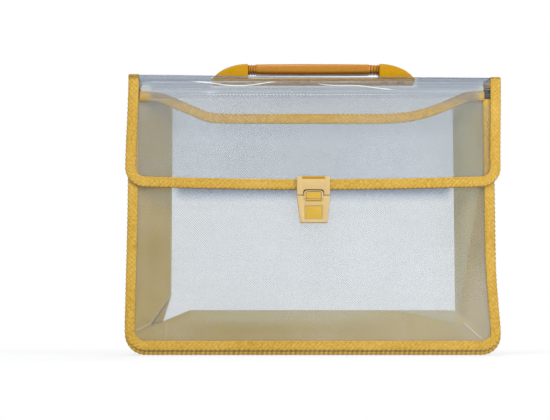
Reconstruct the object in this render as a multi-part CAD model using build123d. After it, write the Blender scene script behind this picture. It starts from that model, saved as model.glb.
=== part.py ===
from build123d import *
import os
from math import atan, cos, degrees, radians, sin

# Expanding document bag: two clear panels joined by a folding gusset, a lid with a handle on
# top, and a push-button lock. It stands upright with its front towards -Y. Millimetres.

# Overall sizes
bag_width = 376.0
bag_height = 279.0
bag_corner = 21.0

# Sheet, film and tape
sheet = 0.8
film = 0.4
tape = 0.6
tape_width = 10.0
front_hem_drop = 4.2

# Gusset: the width of one leaf, its angle to the panels at rest and with the bag pressed flat
leaf_width = 37.5
open_angle = 24.0
flat_angle = 3.0
gusset_top_drop = 2.7
gusset_hem = 0.25
gusset_hem_width = 8.0
fold_gap = 0.15
mitre_gap = 0.4
leaf_running_gap = 0.65

# Mouth of the bag: the front panel's top edge
mouth_side_drop = 14.3
mouth_depth = 22.7
mouth_shoulder = 35.0
mouth_slope_run = 61.0

# Lid
lid_side_inset = 0.5
lid_drop = 112.5
lid_corner = 19.0
lid_tape_width = 10.5
score_drop = 20.0
fold_clearance = 0.3
lid_clearance = 0.8

# Handle
grip_half_length = 58.5
grip_depth = 20.0
grip_height = 10.0
grip_round = 3.5
grip_end_round = 0.8
finger_gap = 7.5
neck_gap = 0.3
neck_length = 7.2
neck_inset = 1.5
neck_low_inset = 1.2
neck_rib = 1.0
neck_rib_width = 1.3
neck_ribs = 3
tongue_length = 6.0
tongue_inset = 1.0
tongue_low_inset = 1.5
socket_clearance = 0.4
bracket_length = 35.0
bracket_margin = 2.5
bracket_rise = 0.1
bracket_round = 3.0
bracket_shoulder = 0.65
base_end_margin = 2.5
base_side_margin = 2.5
base_thickness = 1.6
handle_rivet = 2.0
handle_rivet_head = 3.6
handle_rivet_head_height = 1.2
handle_rivet_grip = 4.0
handle_rivet_inset = 8.0
handle_rivet_pitch = 16.0

# Metal corner clips
clip_width = 4.5
clip_thickness = 0.8
clip_rise = 3.7
clip_grip = 7.7
clip_gap = 1.2

# Lock
lock_half_width = 16.2
lock_foot_half_width = 14.1
lock_plate_rise = 12.2
lock_plate_drop = 7.6
lock_split_gap = 0.4
lock_body_height = 27.5
lock_thickness = 4.0
lock_corner = 4.0
lock_foot_corner = 2.5
lock_edge_round = 0.5
lock_backing = 1.7
lock_backing_margin = 1.0
body_backing = 1.6
slot_half_width = 11.0
slot_height = 2.6
slot_depth = 1.2
frame_side_wall = 2.5
frame_end_wall = 2.2
frame_below_split = 0.4
frame_rise = 0.8
frame_corner = 2.0
frame_edge_round = 0.3
frame_gap = 0.4
panel_half_width = 9.1
panel_foot_margin = 2.8
panel_top_margin = 4.5
panel_recess = 1.0
button_half_width = 7.35
button_half_height = 3.3
button_corner = 1.2
button_sink = 0.4
button_gap = 0.3
button_lip = 1.2
button_flange = 1.0
button_flange_thickness = 1.2
pocket_floor = 0.8
spring_radius = 2.4
spring_wire = 0.4
spring_turns = 2
spring_seat = 0.05
lock_rivet = 1.5
lock_rivet_head = 2.6
lock_rivet_head_height = 0.7
lock_rivet_grip = 2.5
lock_rivet_fit = 0.05
body_rivet_inset = 4.1
body_rivet_drop = 2.5
flap_rivet_inset = 3.8
flap_rivet_drop = 9.2

# Depths, counted from the middle of the gusset: back is +Y and the front is its mirror
fold_depth = leaf_width * sin(radians(open_angle))
leaf_reach = leaf_width * cos(radians(open_angle))
film_near = fold_gap + gusset_hem
leaf_outer_face = film_near + film + gusset_hem
panel_inner = fold_depth + leaf_outer_face + tape + leaf_running_gap
panel_outer = panel_inner + sheet
binding_outer = panel_outer + tape
lid_inner = binding_outer + lid_clearance + tape
lid_outer = lid_inner + sheet
lid_middle = (lid_inner + lid_outer) / 2
lock_face = lid_outer + lock_thickness
frame_face = lock_face + frame_rise
depth_shift = (frame_face - binding_outer) / 2

# Mouth, gusset and clip places that follow
mouth_side_height = bag_height - mouth_side_drop
mouth_middle_height = mouth_side_height - mouth_depth
mouth_side_start = bag_width / 2 - mouth_shoulder
mouth_middle_end = mouth_side_start - mouth_slope_run
gusset_top = mouth_side_height - gusset_top_drop
clip_low = mouth_side_height - clip_grip
clip_high = mouth_side_height + clip_rise
clip_place = bag_width / 2 - tape_width - clip_gap - clip_width / 2

# Lid, handle and lock places that follow
lid_width = bag_width - 2 * lid_side_inset
lid_bottom = bag_height - lid_drop
spine_high = bag_height
spine_low = spine_high - sheet
fold_height = (spine_high + spine_low) / 2
back_fold_y = (panel_inner + panel_outer) / 2
front_fold_y = -lid_middle
score_height = fold_height - score_drop
sheet_end = sheet / 2 + fold_clearance
tape_end = sheet / 2 + tape + fold_clearance
leaf_axis_x = bag_width / 2 - tape_width - film
leaf_axis_z = tape_width + film
handle_y = (back_fold_y + front_fold_y) / 2
grip_low = spine_high + finger_gap
grip_middle = grip_low + grip_height / 2
neck_start = grip_half_length + neck_gap
neck_depth = grip_depth - 2 * neck_inset
neck_height = grip_height - 2 * neck_low_inset
tongue_depth = neck_depth - 2 * tongue_inset
tongue_height = neck_height - 2 * tongue_low_inset
bracket_inner = neck_start + neck_length
bracket_outer = bracket_inner + bracket_length
bracket_depth = grip_depth + 2 * bracket_margin
bracket_height = finger_gap + grip_height + bracket_rise
base_half_length = bracket_outer + base_end_margin
base_depth = bracket_depth + 2 * base_side_margin
handle_rivet_first = bracket_inner + handle_rivet_inset
handle_rivet_places = (handle_rivet_first, handle_rivet_first + handle_rivet_pitch)
lock_top = lid_bottom + lock_plate_rise
lock_split = lid_bottom - lock_plate_drop
lock_foot = lock_split - lock_body_height
frame_half_width = button_half_width + frame_side_wall
frame_half_height = button_half_height + frame_end_wall
button_middle = lock_split - frame_below_split
frame_low = button_middle - frame_half_height
frame_high = button_middle + frame_half_height
panel_low = lock_foot + panel_foot_margin
panel_high = frame_low - panel_top_margin
body_rivet_x = lock_foot_half_width - body_rivet_inset
body_rivet_z = frame_low - body_rivet_drop
flap_rivet_x = lock_half_width - flap_rivet_inset
flap_rivet_z = lock_top - flap_rivet_drop
rivet_hole = lock_rivet + lock_rivet_fit
rivet_seat = lock_rivet_head + lock_rivet_fit
handle_hole = handle_rivet + lock_rivet_fit
shut_travel = 2 * leaf_width * (sin(radians(open_angle)) - sin(radians(flat_angle)))

parts = {}


def group(solids):
    """Separate solids of one node."""
    return Compound(solids)


def layer(plane, outline, near, far):
    """Solid of an outline on a plane, between two distances behind the plane."""
    return extrude(plane.offset(-far) * outline, amount=far - near)


def wall(outline, near, far):
    """Solid of an outline in X and Z, between two depths in Y."""
    return layer(Plane.XZ, outline, near, far)


def rectangle(left, right, low, high):
    """Flat rectangle from its sides."""
    return Pos((left + right) / 2, (low + high) / 2) * Rectangle(right - left, high - low)


def box(left, right, near, far, low, high):
    """Box from its sides."""
    return wall(rectangle(left, right, low, high), near, far)


def round_face(solid, radius):
    """The same solid with the edges of its foremost face rounded."""
    face = solid.faces().sort_by(Axis.Y)[0]
    return fillet(face.edges(), radius)


def cup_outline(half_width, low, high, radius):
    """Rectangle with its two lower corners rounded."""
    face = rectangle(-half_width, half_width, low, high)
    return fillet(face.vertices().group_by(Axis.Y)[0], radius)


def rod(radius, x, y, z, direction, length):
    """Round rod from a point along a direction."""
    start = Plane(origin=(x, y, z), z_dir=direction)
    return extrude(start * Circle(radius), amount=length)


def bound_edge(half_width, low, high, radius, inner, widths):
    """Binding tape folded over a sheet's sides and bottom: inner and outer layer and the edge.

    inner is the sheet's near face. widths are the near side, near bottom, far side and far
    bottom widths of the tape.
    """
    near_side, near_bottom, far_side, far_bottom = widths
    whole = cup_outline(half_width, low, high, radius)

    def open_frame(side, bottom):
        """The outline's frame, open at the top."""
        corner = radius - min(side, bottom)
        return whole - cup_outline(half_width - side, low + bottom, high + tape_width, corner)

    near_layer = wall(open_frame(near_side, near_bottom), inner - tape, inner)
    far_layer = wall(open_frame(far_side, far_bottom), inner + sheet, inner + sheet + tape)
    edge = wall(open_frame(tape, tape), inner, inner + sheet)
    return near_layer + edge + far_layer


def above_mouth(drop):
    """Everything above the front panel's top line, with that line lowered by drop."""
    run = mouth_side_start - mouth_middle_end
    fall = mouth_side_height - mouth_middle_height
    bend = (run**2 + fall**2) / (4 * fall)
    turn = 2 * degrees(atan(fall / run))
    side = mouth_side_height - drop
    middle = mouth_middle_height - drop
    crest = mouth_side_height - bend
    hollow = mouth_middle_height + bend
    far = bag_width
    line = [
        Line((-far, side), (-mouth_side_start, side)),
        CenterArc((-mouth_side_start, crest), bend - drop, 90, -turn),
        CenterArc((-mouth_middle_end, hollow), bend + drop, 270 - turn, turn),
        Line((-mouth_middle_end, middle), (mouth_middle_end, middle)),
        CenterArc((mouth_middle_end, hollow), bend + drop, 270, turn),
        CenterArc((mouth_side_start, crest), bend - drop, 90 + turn, -turn),
        Line((mouth_side_start, side), (far, side)),
        Line((far, side), (far, far)),
        Line((far, far), (-far, far)),
        Line((-far, far), (-far, side)),
    ]
    return make_face(line)


def back_parts():
    """Back panel and its binding."""
    half = bag_width / 2
    sheet_outline = cup_outline(half - tape, tape, fold_height - sheet_end, bag_corner - tape)
    parts["back_panel"] = wall(sheet_outline, panel_inner, panel_outer)
    far_bottom = tape_width + front_hem_drop
    parts["back_binding"] = bound_edge(
        half, 0, fold_height - tape_end, bag_corner, panel_inner,
        (tape_width, tape_width, tape_width, far_bottom),
    )


def clip_solids():
    """The two folded metal clips over the front panel's top corners."""
    outer = binding_outer + clip_thickness
    clips = []
    for side in (-1, 1):
        left = side * clip_place - clip_width / 2
        right = left + clip_width
        whole = box(left, right, -outer, -panel_inner + tape, clip_low, clip_high)
        bound_sheet = box(left, right, -binding_outer, -panel_inner, 0, mouth_side_height)
        clips.append(whole - bound_sheet)
    return clips


def front_parts():
    """Front panel with its scooped mouth, its bindings and the corner clips."""
    half = bag_width / 2
    sheet_outline = cup_outline(half - tape, tape, bag_height, bag_corner - tape) - above_mouth(tape)
    panel = wall(sheet_outline, -panel_outer, -panel_inner)
    binding = bound_edge(
        half, 0, mouth_side_height, bag_corner, -panel_outer,
        (tape_width, tape_width + front_hem_drop, tape_width, tape_width),
    )
    between = rectangle(tape_width - half, half - tape_width, 0, bag_height)
    strip = (between & above_mouth(tape_width)) - above_mouth(0)
    mouth = wall(strip, -binding_outer, -panel_inner + tape) - panel
    clips = clip_solids()
    for clip in clips:
        mouth = mouth - clip
    for side in (-1, 1):
        panel = panel - rod(rivet_hole, side * body_rivet_x, -panel_inner, body_rivet_z, (0, -1, 0), sheet)
    parts["front_panel"] = panel
    parts["front_binding"] = binding
    parts["front_mouth_tape"] = mouth
    parts["corner_clips"] = group(clips)


def gusset_parts():
    """Six leaves of gusset film, and the tape over the side leaves' top ends."""
    angle = radians(open_angle)
    side_plane = Plane(
        origin=(-leaf_axis_x, fold_depth, 0), x_dir=(cos(angle), -sin(angle), 0),
        z_dir=(-sin(angle), -cos(angle), 0),
    )
    side_leaf = make_face(
        Polyline(
            (0, leaf_axis_z + mitre_gap), (leaf_width, leaf_axis_z + leaf_width + mitre_gap),
            (leaf_width, gusset_top - gusset_hem), (0, gusset_top - gusset_hem), close=True,
        )
    )
    hem_outline = rectangle(0, leaf_width, gusset_top - gusset_hem_width, gusset_top)
    left_leaf = layer(side_plane, side_leaf, film_near, film_near + film)
    left_hem = layer(side_plane, hem_outline, fold_gap, leaf_outer_face) - left_leaf

    bottom_plane = Plane(
        origin=(0, fold_depth, leaf_axis_z), x_dir=(1, 0, 0), z_dir=(0, -cos(angle), -sin(angle)),
    )
    foot = leaf_axis_x - mitre_gap
    ridge = foot - leaf_width
    bottom_leaf = make_face(
        Polyline((-foot, 0), (foot, 0), (ridge, leaf_width), (-ridge, leaf_width), close=True)
    )
    bottom = layer(bottom_plane, bottom_leaf, film_near, film_near + film)

    parts["gusset_left_rear"] = left_leaf
    parts["gusset_left_rear_hem"] = left_hem
    parts["gusset_bottom_rear"] = bottom
    parts["gusset_bottom_front"] = mirror(bottom, Plane.XZ)
    for kind, leaf in (("", left_leaf), ("_hem", left_hem)):
        parts["gusset_left_front" + kind] = mirror(leaf, Plane.XZ)
        parts["gusset_right_rear" + kind] = mirror(leaf, Plane.YZ)
        parts["gusset_right_front" + kind] = mirror(mirror(leaf, Plane.YZ), Plane.XZ)


def handle_rivet_spots():
    """X places of the rivets that hold the two brackets."""
    return [side * place for side in (-1, 1) for place in handle_rivet_places]


def spine_parts():
    """Top of the lid, its binding and the handle's base plate."""
    half = lid_width / 2
    back = back_fold_y - sheet_end
    front = front_fold_y + sheet_end
    spine = box(tape - half, half - tape, front, back, spine_low, spine_high)
    ends = []
    for side in (-1, 1):
        outer = side * half
        inner = side * (half - lid_tape_width)
        block = box(
            min(outer, inner), max(outer, inner), front_fold_y + tape_end, back_fold_y - tape_end,
            spine_low - tape, spine_high + tape,
        )
        ends.append(block - spine)
    base = box(
        -base_half_length, base_half_length, handle_y - base_depth / 2, handle_y + base_depth / 2,
        spine_low - base_thickness, spine_low,
    )
    rivets = []
    for x in handle_rivet_spots():
        top = spine_high + handle_rivet_grip
        under = spine_low - base_thickness
        hole = rod(handle_hole, x, handle_y, under, (0, 0, 1), top - under)
        shank = rod(handle_rivet, x, handle_y, under, (0, 0, 1), top - under)
        head = rod(handle_rivet_head, x, handle_y, under, (0, 0, -1), handle_rivet_head_height)
        spine = spine - hole
        base = base - hole
        rivets.append(shank + head)
    parts["spine_panel"] = spine
    parts["spine_binding"] = group(ends)
    parts["handle_base"] = base
    parts["handle_rivets"] = group(rivets)


def handle_parts():
    """Brackets, ribbed necks and grip."""
    near = handle_y - bracket_depth / 2
    far = handle_y + bracket_depth / 2
    shoulder_x = (bracket_inner + bracket_outer) / 2
    top = spine_high + bracket_height
    profile = make_face(
        [
            Line((bracket_inner, spine_high), (bracket_inner, top)),
            ThreePointArc(
                (bracket_inner, top), (shoulder_x, spine_high + bracket_shoulder * bracket_height),
                (bracket_outer, spine_high),
            ),
            Line((bracket_outer, spine_high), (bracket_inner, spine_high)),
        ]
    )
    bracket = wall(profile, near, far)
    bracket = fillet(bracket.edges().filter_by(GeomType.CIRCLE), bracket_round)
    half_tongue = tongue_depth / 2
    half_height = tongue_height / 2
    socket_y = half_tongue + socket_clearance
    socket_z = half_height + socket_clearance
    bracket = bracket - box(
        bracket_inner, bracket_inner + tongue_length + socket_clearance,
        handle_y - socket_y, handle_y + socket_y, grip_middle - socket_z, grip_middle + socket_z,
    )
    for x in handle_rivet_places:
        bracket = bracket - rod(handle_hole, x, handle_y, spine_high, (0, 0, 1), handle_rivet_grip)
    parts["handle_bracket_right"] = bracket
    parts["handle_bracket_left"] = mirror(bracket, Plane.YZ)

    neck = box(
        neck_start, bracket_inner, handle_y - neck_depth / 2, handle_y + neck_depth / 2,
        grip_middle - neck_height / 2, grip_middle + neck_height / 2,
    )
    pitch = (bracket_inner - neck_start) / neck_ribs
    for number in range(neck_ribs):
        x = neck_start + pitch * (number + 0.5)
        neck = neck + box(
            x - neck_rib_width / 2, x + neck_rib_width / 2,
            handle_y - neck_depth / 2 - neck_rib, handle_y + neck_depth / 2 + neck_rib,
            grip_middle - neck_height / 2 - neck_rib, grip_middle + neck_height / 2 + neck_rib,
        )
    neck = neck + box(
        bracket_inner, bracket_inner + tongue_length, handle_y - half_tongue, handle_y + half_tongue,
        grip_middle - half_height, grip_middle + half_height,
    )
    parts["handle_neck_right"] = neck
    parts["handle_neck_left"] = mirror(neck, Plane.YZ)

    grip = box(
        -grip_half_length, grip_half_length, handle_y - grip_depth / 2, handle_y + grip_depth / 2,
        grip_low, grip_low + grip_height,
    )
    grip = fillet(grip.edges().filter_by(Axis.X), grip_round)
    ends = grip.faces().sort_by(Axis.X)
    parts["handle_grip"] = fillet(ends[0].edges() + ends[-1].edges(), grip_end_round)


def lid_parts():
    """Hinge strip and flap of the lid, with their binding."""
    half = lid_width / 2
    strip_high = fold_height - sheet_end
    strip_low = score_height + sheet_end
    parts["lid_strip"] = box(tape - half, half - tape, -lid_outer, -lid_inner, strip_low, strip_high)
    ends = []
    for side in (-1, 1):
        outer = side * half
        inner = side * (half - lid_tape_width)
        block = box(
            min(outer, inner), max(outer, inner), -lid_outer - tape, -lid_inner + tape,
            score_height + sheet_end, fold_height - tape_end,
        )
        ends.append(block - parts["lid_strip"])
    parts["lid_strip_binding"] = group(ends)

    flap_high = score_height - sheet_end
    outline = cup_outline(half - tape, lid_bottom + tape, flap_high, lid_corner - tape)
    flap = wall(outline, -lid_outer, -lid_inner)
    for side in (-1, 1):
        flap = flap - rod(rivet_hole, side * flap_rivet_x, -lid_inner, flap_rivet_z, (0, -1, 0), sheet)
    parts["lid_binding"] = bound_edge(
        half, lid_bottom, flap_high, lid_corner, -lid_outer,
        (lid_tape_width, lid_tape_width, lid_tape_width, lid_tape_width),
    )
    parts["lid_flap"] = flap


def rivet_pair(x, z, inner, shank_length):
    """Two countersunk rivets from an inner face towards the front."""
    pair = []
    for side in (-1, 1):
        shank = rod(lock_rivet, side * x, -inner, z, (0, -1, 0), shank_length)
        head = rod(lock_rivet_head, side * x, -inner, z, (0, -1, 0), lock_rivet_head_height)
        pair.append(shank + head)
    return pair


def riveted(solid, x, z, inner, shank_length):
    """The same solid with room for a rivet pair."""
    for side in (-1, 1):
        hole = rod(rivet_hole, side * x, -inner, z, (0, -1, 0), shank_length)
        seat = rod(rivet_seat, side * x, -inner, z, (0, -1, 0), lock_rivet_head_height)
        solid = solid - hole - seat
    return solid


def lock_plate_parts():
    """Lock plate on the flap, its backing and its rivets."""
    low = lock_split + lock_split_gap / 2
    face = rectangle(-lock_half_width, lock_half_width, low, lock_top)
    face = fillet(face.vertices().group_by(Axis.Y)[-1], lock_corner)
    plate = round_face(wall(face, -lock_face, -lid_outer), lock_edge_round)
    room = frame_half_width + frame_gap
    notch = box(-room, room, -lock_face, -lid_outer, low, frame_high + frame_gap)
    slot_low = lock_top - slot_height
    slot = box(-slot_half_width, slot_half_width, -lock_face, -lock_face + slot_depth, slot_low, lock_top)
    plate = plate - notch - slot

    inner = lid_inner - lock_backing
    binding = parts["lid_binding"]
    half = lock_half_width - lock_backing_margin
    high = lock_top - lock_backing_margin
    backing = box(-half, half, -lid_inner, -inner, lid_bottom + tape, high)
    length = lid_outer + lock_rivet_grip - inner
    plate = plate - binding
    backing = backing - binding
    parts["lid_binding"] = riveted(binding, flap_rivet_x, flap_rivet_z, inner, length)
    parts["lock_flap_plate"] = riveted(plate, flap_rivet_x, flap_rivet_z, inner, length)
    parts["lock_flap_backing"] = riveted(backing, flap_rivet_x, flap_rivet_z, inner, length)
    parts["lock_flap_rivets"] = group(rivet_pair(flap_rivet_x, flap_rivet_z, inner, length))


def lock_body_parts():
    """Lock body on the front panel, its backing, rivets, button and spring."""
    high = lock_split - lock_split_gap / 2
    outline = make_face(
        Polyline(
            (-lock_foot_half_width, lock_foot), (lock_foot_half_width, lock_foot),
            (lock_half_width, high), (-lock_half_width, high), close=True,
        )
    )
    outline = fillet(outline.vertices().group_by(Axis.Y)[0], lock_foot_corner)
    body = round_face(wall(outline, -lock_face, -panel_outer), lock_edge_round)
    frame = rectangle(-frame_half_width, frame_half_width, frame_low, frame_high)
    frame = fillet(frame.vertices(), frame_corner)
    body = body + round_face(wall(frame, -frame_face, -panel_outer), frame_edge_round)
    recess = rectangle(-panel_half_width, panel_half_width, panel_low, panel_high)
    body = body - wall(recess, -lock_face, -lock_face + panel_recess)

    wide = button_half_width
    tall = button_half_height
    mouth_wide = wide + button_gap
    mouth_tall = tall + button_gap
    mouth = rectangle(-mouth_wide, mouth_wide, button_middle - mouth_tall, button_middle + mouth_tall)
    flange_wide = wide + button_flange
    flange_tall = tall + button_flange
    pocket_wide = flange_wide + button_gap
    pocket_tall = flange_tall + button_gap
    lip = frame_face - button_lip
    floor = panel_outer + pocket_floor
    pocket = rectangle(-pocket_wide, pocket_wide, button_middle - pocket_tall, button_middle + pocket_tall)
    body = body - wall(mouth, -frame_face, -lip) - wall(pocket, -lip, -floor)

    front = frame_face - button_sink
    flange_front = lip - button_gap
    back = flange_front - button_flange_thickness
    cap = rectangle(-wide, wide, button_middle - tall, button_middle + tall)
    cap = wall(fillet(cap.vertices(), button_corner), -front, -back)
    flange = rectangle(-flange_wide, flange_wide, button_middle - flange_tall, button_middle + flange_tall)
    parts["lock_button"] = cap + wall(flange, -flange_front, -back)
    parts["lock_spring"] = coil_spring(button_middle, back - spring_seat, floor + spring_seat)

    inner = panel_inner - body_backing
    half = lock_foot_half_width - lock_backing_margin
    foot = lock_foot + lock_backing_margin
    backing = box(-half, half, -panel_inner, -inner, foot, high - lock_backing_margin)
    length = panel_outer + lock_rivet_grip - inner
    parts["lock_body"] = riveted(body, body_rivet_x, body_rivet_z, inner, length)
    parts["lock_body_backing"] = riveted(backing, body_rivet_x, body_rivet_z, inner, length)
    parts["lock_body_rivets"] = group(rivet_pair(body_rivet_x, body_rivet_z, inner, length))


def coil_spring(z, front, floor):
    """Short coil spring that lies along Y between the pocket's floor and the button."""
    room = front - floor - spring_wire
    path = Helix(pitch=room / spring_turns, height=room, radius=spring_radius)
    start = Plane(origin=path @ 0, z_dir=path % 0)
    coil = sweep(start * Circle(spring_wire / 2), path=path)
    upright = Rot(90, 0, 0) * coil
    return Pos(0, -floor - spring_wire / 2, z) * upright


def main():
    """Build every piece, move it to the bag's own frame and write it."""
    back_parts()
    front_parts()
    gusset_parts()
    spine_parts()
    handle_parts()
    lid_parts()
    lock_plate_parts()
    lock_body_parts()
    os.makedirs("parts", exist_ok=True)
    for name, solid in parts.items():
        export_step(Pos(0, depth_shift, 0) * solid, "parts/" + name + ".step")
    print("depth shift", round(depth_shift, 4))
    print("travel of the front panel", round(shut_travel, 4))
    print("leaf axes: x", round(leaf_axis_x, 4), "z", round(leaf_axis_z, 4))
    print("leaf axes: y", round(fold_depth + depth_shift, 4), "and", round(depth_shift - fold_depth, 4))
    print("fold line: x", round(leaf_axis_x - leaf_reach, 4), "z", round(leaf_axis_z + leaf_reach, 4))
    print("lid fold y: back", round(back_fold_y + depth_shift, 4))
    print("lid fold y: front", round(front_fold_y + depth_shift, 4))
    print("lid fold z", round(fold_height, 4), "score z", round(score_height, 4))


main()
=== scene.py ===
import math
import bmesh
import bpy
from bpy.props import FloatProperty, FloatVectorProperty, IntProperty, PointerProperty
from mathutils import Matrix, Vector


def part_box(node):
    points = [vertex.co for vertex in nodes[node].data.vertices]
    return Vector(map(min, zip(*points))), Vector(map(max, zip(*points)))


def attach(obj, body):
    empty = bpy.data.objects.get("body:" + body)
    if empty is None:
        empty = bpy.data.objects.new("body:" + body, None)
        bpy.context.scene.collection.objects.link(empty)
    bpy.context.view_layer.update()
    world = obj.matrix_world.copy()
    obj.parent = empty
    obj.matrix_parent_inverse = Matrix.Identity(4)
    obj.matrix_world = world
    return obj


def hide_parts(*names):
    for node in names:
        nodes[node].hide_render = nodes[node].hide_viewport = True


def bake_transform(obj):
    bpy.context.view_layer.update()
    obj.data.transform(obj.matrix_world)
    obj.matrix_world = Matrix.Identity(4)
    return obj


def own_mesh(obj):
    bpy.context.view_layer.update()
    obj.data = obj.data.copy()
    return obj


bl_info = {
    "name": "Expanding document bag",
    "version": (1, 0, 0),
    "blender": (4, 5, 0),
    "location": "3D Viewport > Sidebar > Bag",
    "description": "Clear document bag with taped edges, folding gussets, a lid, a lock and a handle",
    "category": "Object",
}

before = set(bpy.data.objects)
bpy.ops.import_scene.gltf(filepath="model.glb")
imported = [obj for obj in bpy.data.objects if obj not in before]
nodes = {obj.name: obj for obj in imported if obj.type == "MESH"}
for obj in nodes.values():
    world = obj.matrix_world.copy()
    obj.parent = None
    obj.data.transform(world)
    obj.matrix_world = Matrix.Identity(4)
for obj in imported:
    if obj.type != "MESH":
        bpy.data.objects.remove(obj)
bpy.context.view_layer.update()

MM = 0.001

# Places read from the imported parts
back_low, back_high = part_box("back_panel")
back_edge_low, back_edge_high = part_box("back_binding")
front_low, front_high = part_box("front_panel")
front_edge_low, front_edge_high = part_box("front_binding")
mouth_low, mouth_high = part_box("front_mouth_tape")
clip_low, clip_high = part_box("corner_clips")
flap_low, flap_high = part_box("lid_flap")
flap_edge_low, flap_edge_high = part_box("lid_binding")
strip_low, strip_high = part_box("lid_strip")
spine_low, spine_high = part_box("spine_panel")
spine_tape_low, spine_tape_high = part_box("spine_binding")
hem_low, hem_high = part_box("gusset_left_rear_hem")
grip_low, grip_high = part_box("handle_grip")
neck_low, neck_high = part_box("handle_neck_right")
bracket_low, bracket_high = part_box("handle_bracket_right")
body_low, body_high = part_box("lock_body")
plate_low, plate_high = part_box("lock_flap_plate")
button_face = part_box("lock_button")[0].y

back_middle = (back_low.y + back_high.y) / 2
front_middle = (front_low.y + front_high.y) / 2
flap_middle = (flap_low.y + flap_high.y) / 2
spine_middle = (spine_low.z + spine_high.z) / 2
half_width = back_edge_high.x
lid_half_width = flap_edge_high.x
sheet_half = (back_high.y - back_low.y) / 2
handle_middle = (grip_low.y + grip_high.y) / 2
# The shown grip sits a little lower than its CAD node, as in the photograph
grip_middle = (grip_low.z + grip_high.z) / 2 - 1.5 * MM


def length(name, description, millimetres):
    """Setting for a length."""
    return FloatProperty(name=name, description=description, default=millimetres * MM, unit="LENGTH")


def tint(name, description, *colour):
    """Setting for a colour."""
    return FloatVectorProperty(name=name, description=description, default=colour, subtype="COLOR")


class BagSizes(bpy.types.PropertyGroup):
    """Sizes that the pieces made here are worked out from."""

    tape_width: length("Tape width", "Width of the folded tape on the panels", 10)
    lid_tape_width: length("Lid tape width", "Width of the folded tape on the lid", 10.5)
    tape_thickness: length("Tape thickness", "Thickness of one layer of tape", 0.6)
    hem_drop: length("Hem drop", "How far the corded lower lip of the hem shows", 4.2)
    bag_corner: length("Bag corner", "Radius of the panels' lower corners", 21)
    lid_corner: length("Lid corner", "Radius of the lid's corners", 19)
    rib_pitch: length("Twill pitch", "Pitch of the ribs in the tape's weave", 4.7)
    rib_height: length("Twill height", "How far the tape's ribs stand out at its edges", 0.22)
    stitch_pitch: length("Stitch pitch", "Distance from stitch to stitch", 3.4)
    stitch_length: length("Stitch length", "Length of one stitch", 2.4)
    stitch_radius: length("Thread radius", "Radius of the sewing thread", 0.2)
    emboss_pitch: length("Emboss pitch", "Distance between the sheet's diagonal lines", 1.75)
    film_thickness: length("Film thickness", "Thickness of the gusset film", 0.4)
    neck_ribs: IntProperty(name="Neck ribs", description="Ribs on each neck of the grip", default=3, min=1)


class BagColours(bpy.types.PropertyGroup):
    """Colours of the finishes, as linear values."""

    sheet: tint("Clear sheet", "Tint of the clear sheet", 0.17, 0.25, 0.31)
    film: tint("Gusset film", "Colour of the gusset film", 0.62, 0.39, 0.0)
    tape: tint("Tape", "Colour of the binding tape", 0.54, 0.327, 0.034)
    handle: tint("Handle", "Colour of the handle's brackets", 0.5, 0.25, 0.0)
    grip: tint("Grip", "Colour of the grip", 0.44, 0.18, 0.01)
    lock: tint("Lock", "Colour of the lock's plates", 0.61, 0.43, 0.18)
    button: tint("Button", "Colour of the button and the lock's panel", 0.59, 0.365, 0.04)
    steel: tint("Steel", "Colour of the corner clips", 0.04, 0.033, 0.028)


def sizes():
    """The scene's sizes."""
    return bpy.context.scene.bag_sizes


def colours():
    """The scene's colours."""
    return bpy.context.scene.bag_colours


def ease(low, high, value):
    """0 up to low, 1 from high on, and smooth between them."""
    t = min(1, max(0, (value - low) / (high - low)))
    return t * t * (3 - 2 * t)


def blend_points(a, b, t):
    """Point between two tuples."""
    return tuple(x + (y - x) * t for x, y in zip(a, b))


def spaced(start, end, step):
    """Evenly spaced values from start to end, about a step apart."""
    count = max(1, round(abs(end - start) / step))
    return [start + (end - start) * i / count for i in range(count + 1)]


def smooth_line(points, x):
    """Height at x of a smooth line through a few points, level beyond its ends."""
    if x <= points[0][0]:
        return points[0][1]
    if x >= points[-1][0]:
        return points[-1][1]
    last = len(points) - 1
    here = max(i for i in range(last) if points[i][0] <= x)
    slopes = []
    for i in (here, here + 1):
        before, after = points[max(i - 1, 0)], points[min(i + 1, last)]
        slopes.append(0 if i in (0, last) else (after[1] - before[1]) / (after[0] - before[0]))
    (x0, y0), (x1, y1) = points[here], points[here + 1]
    run = x1 - x0
    t = (x - x0) / run
    rise = t * t * (3 - 2 * t)
    return y0 + (y1 - y0) * rise + run * t * (1 - t) * (slopes[0] * (1 - t) - slopes[1] * t)


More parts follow.
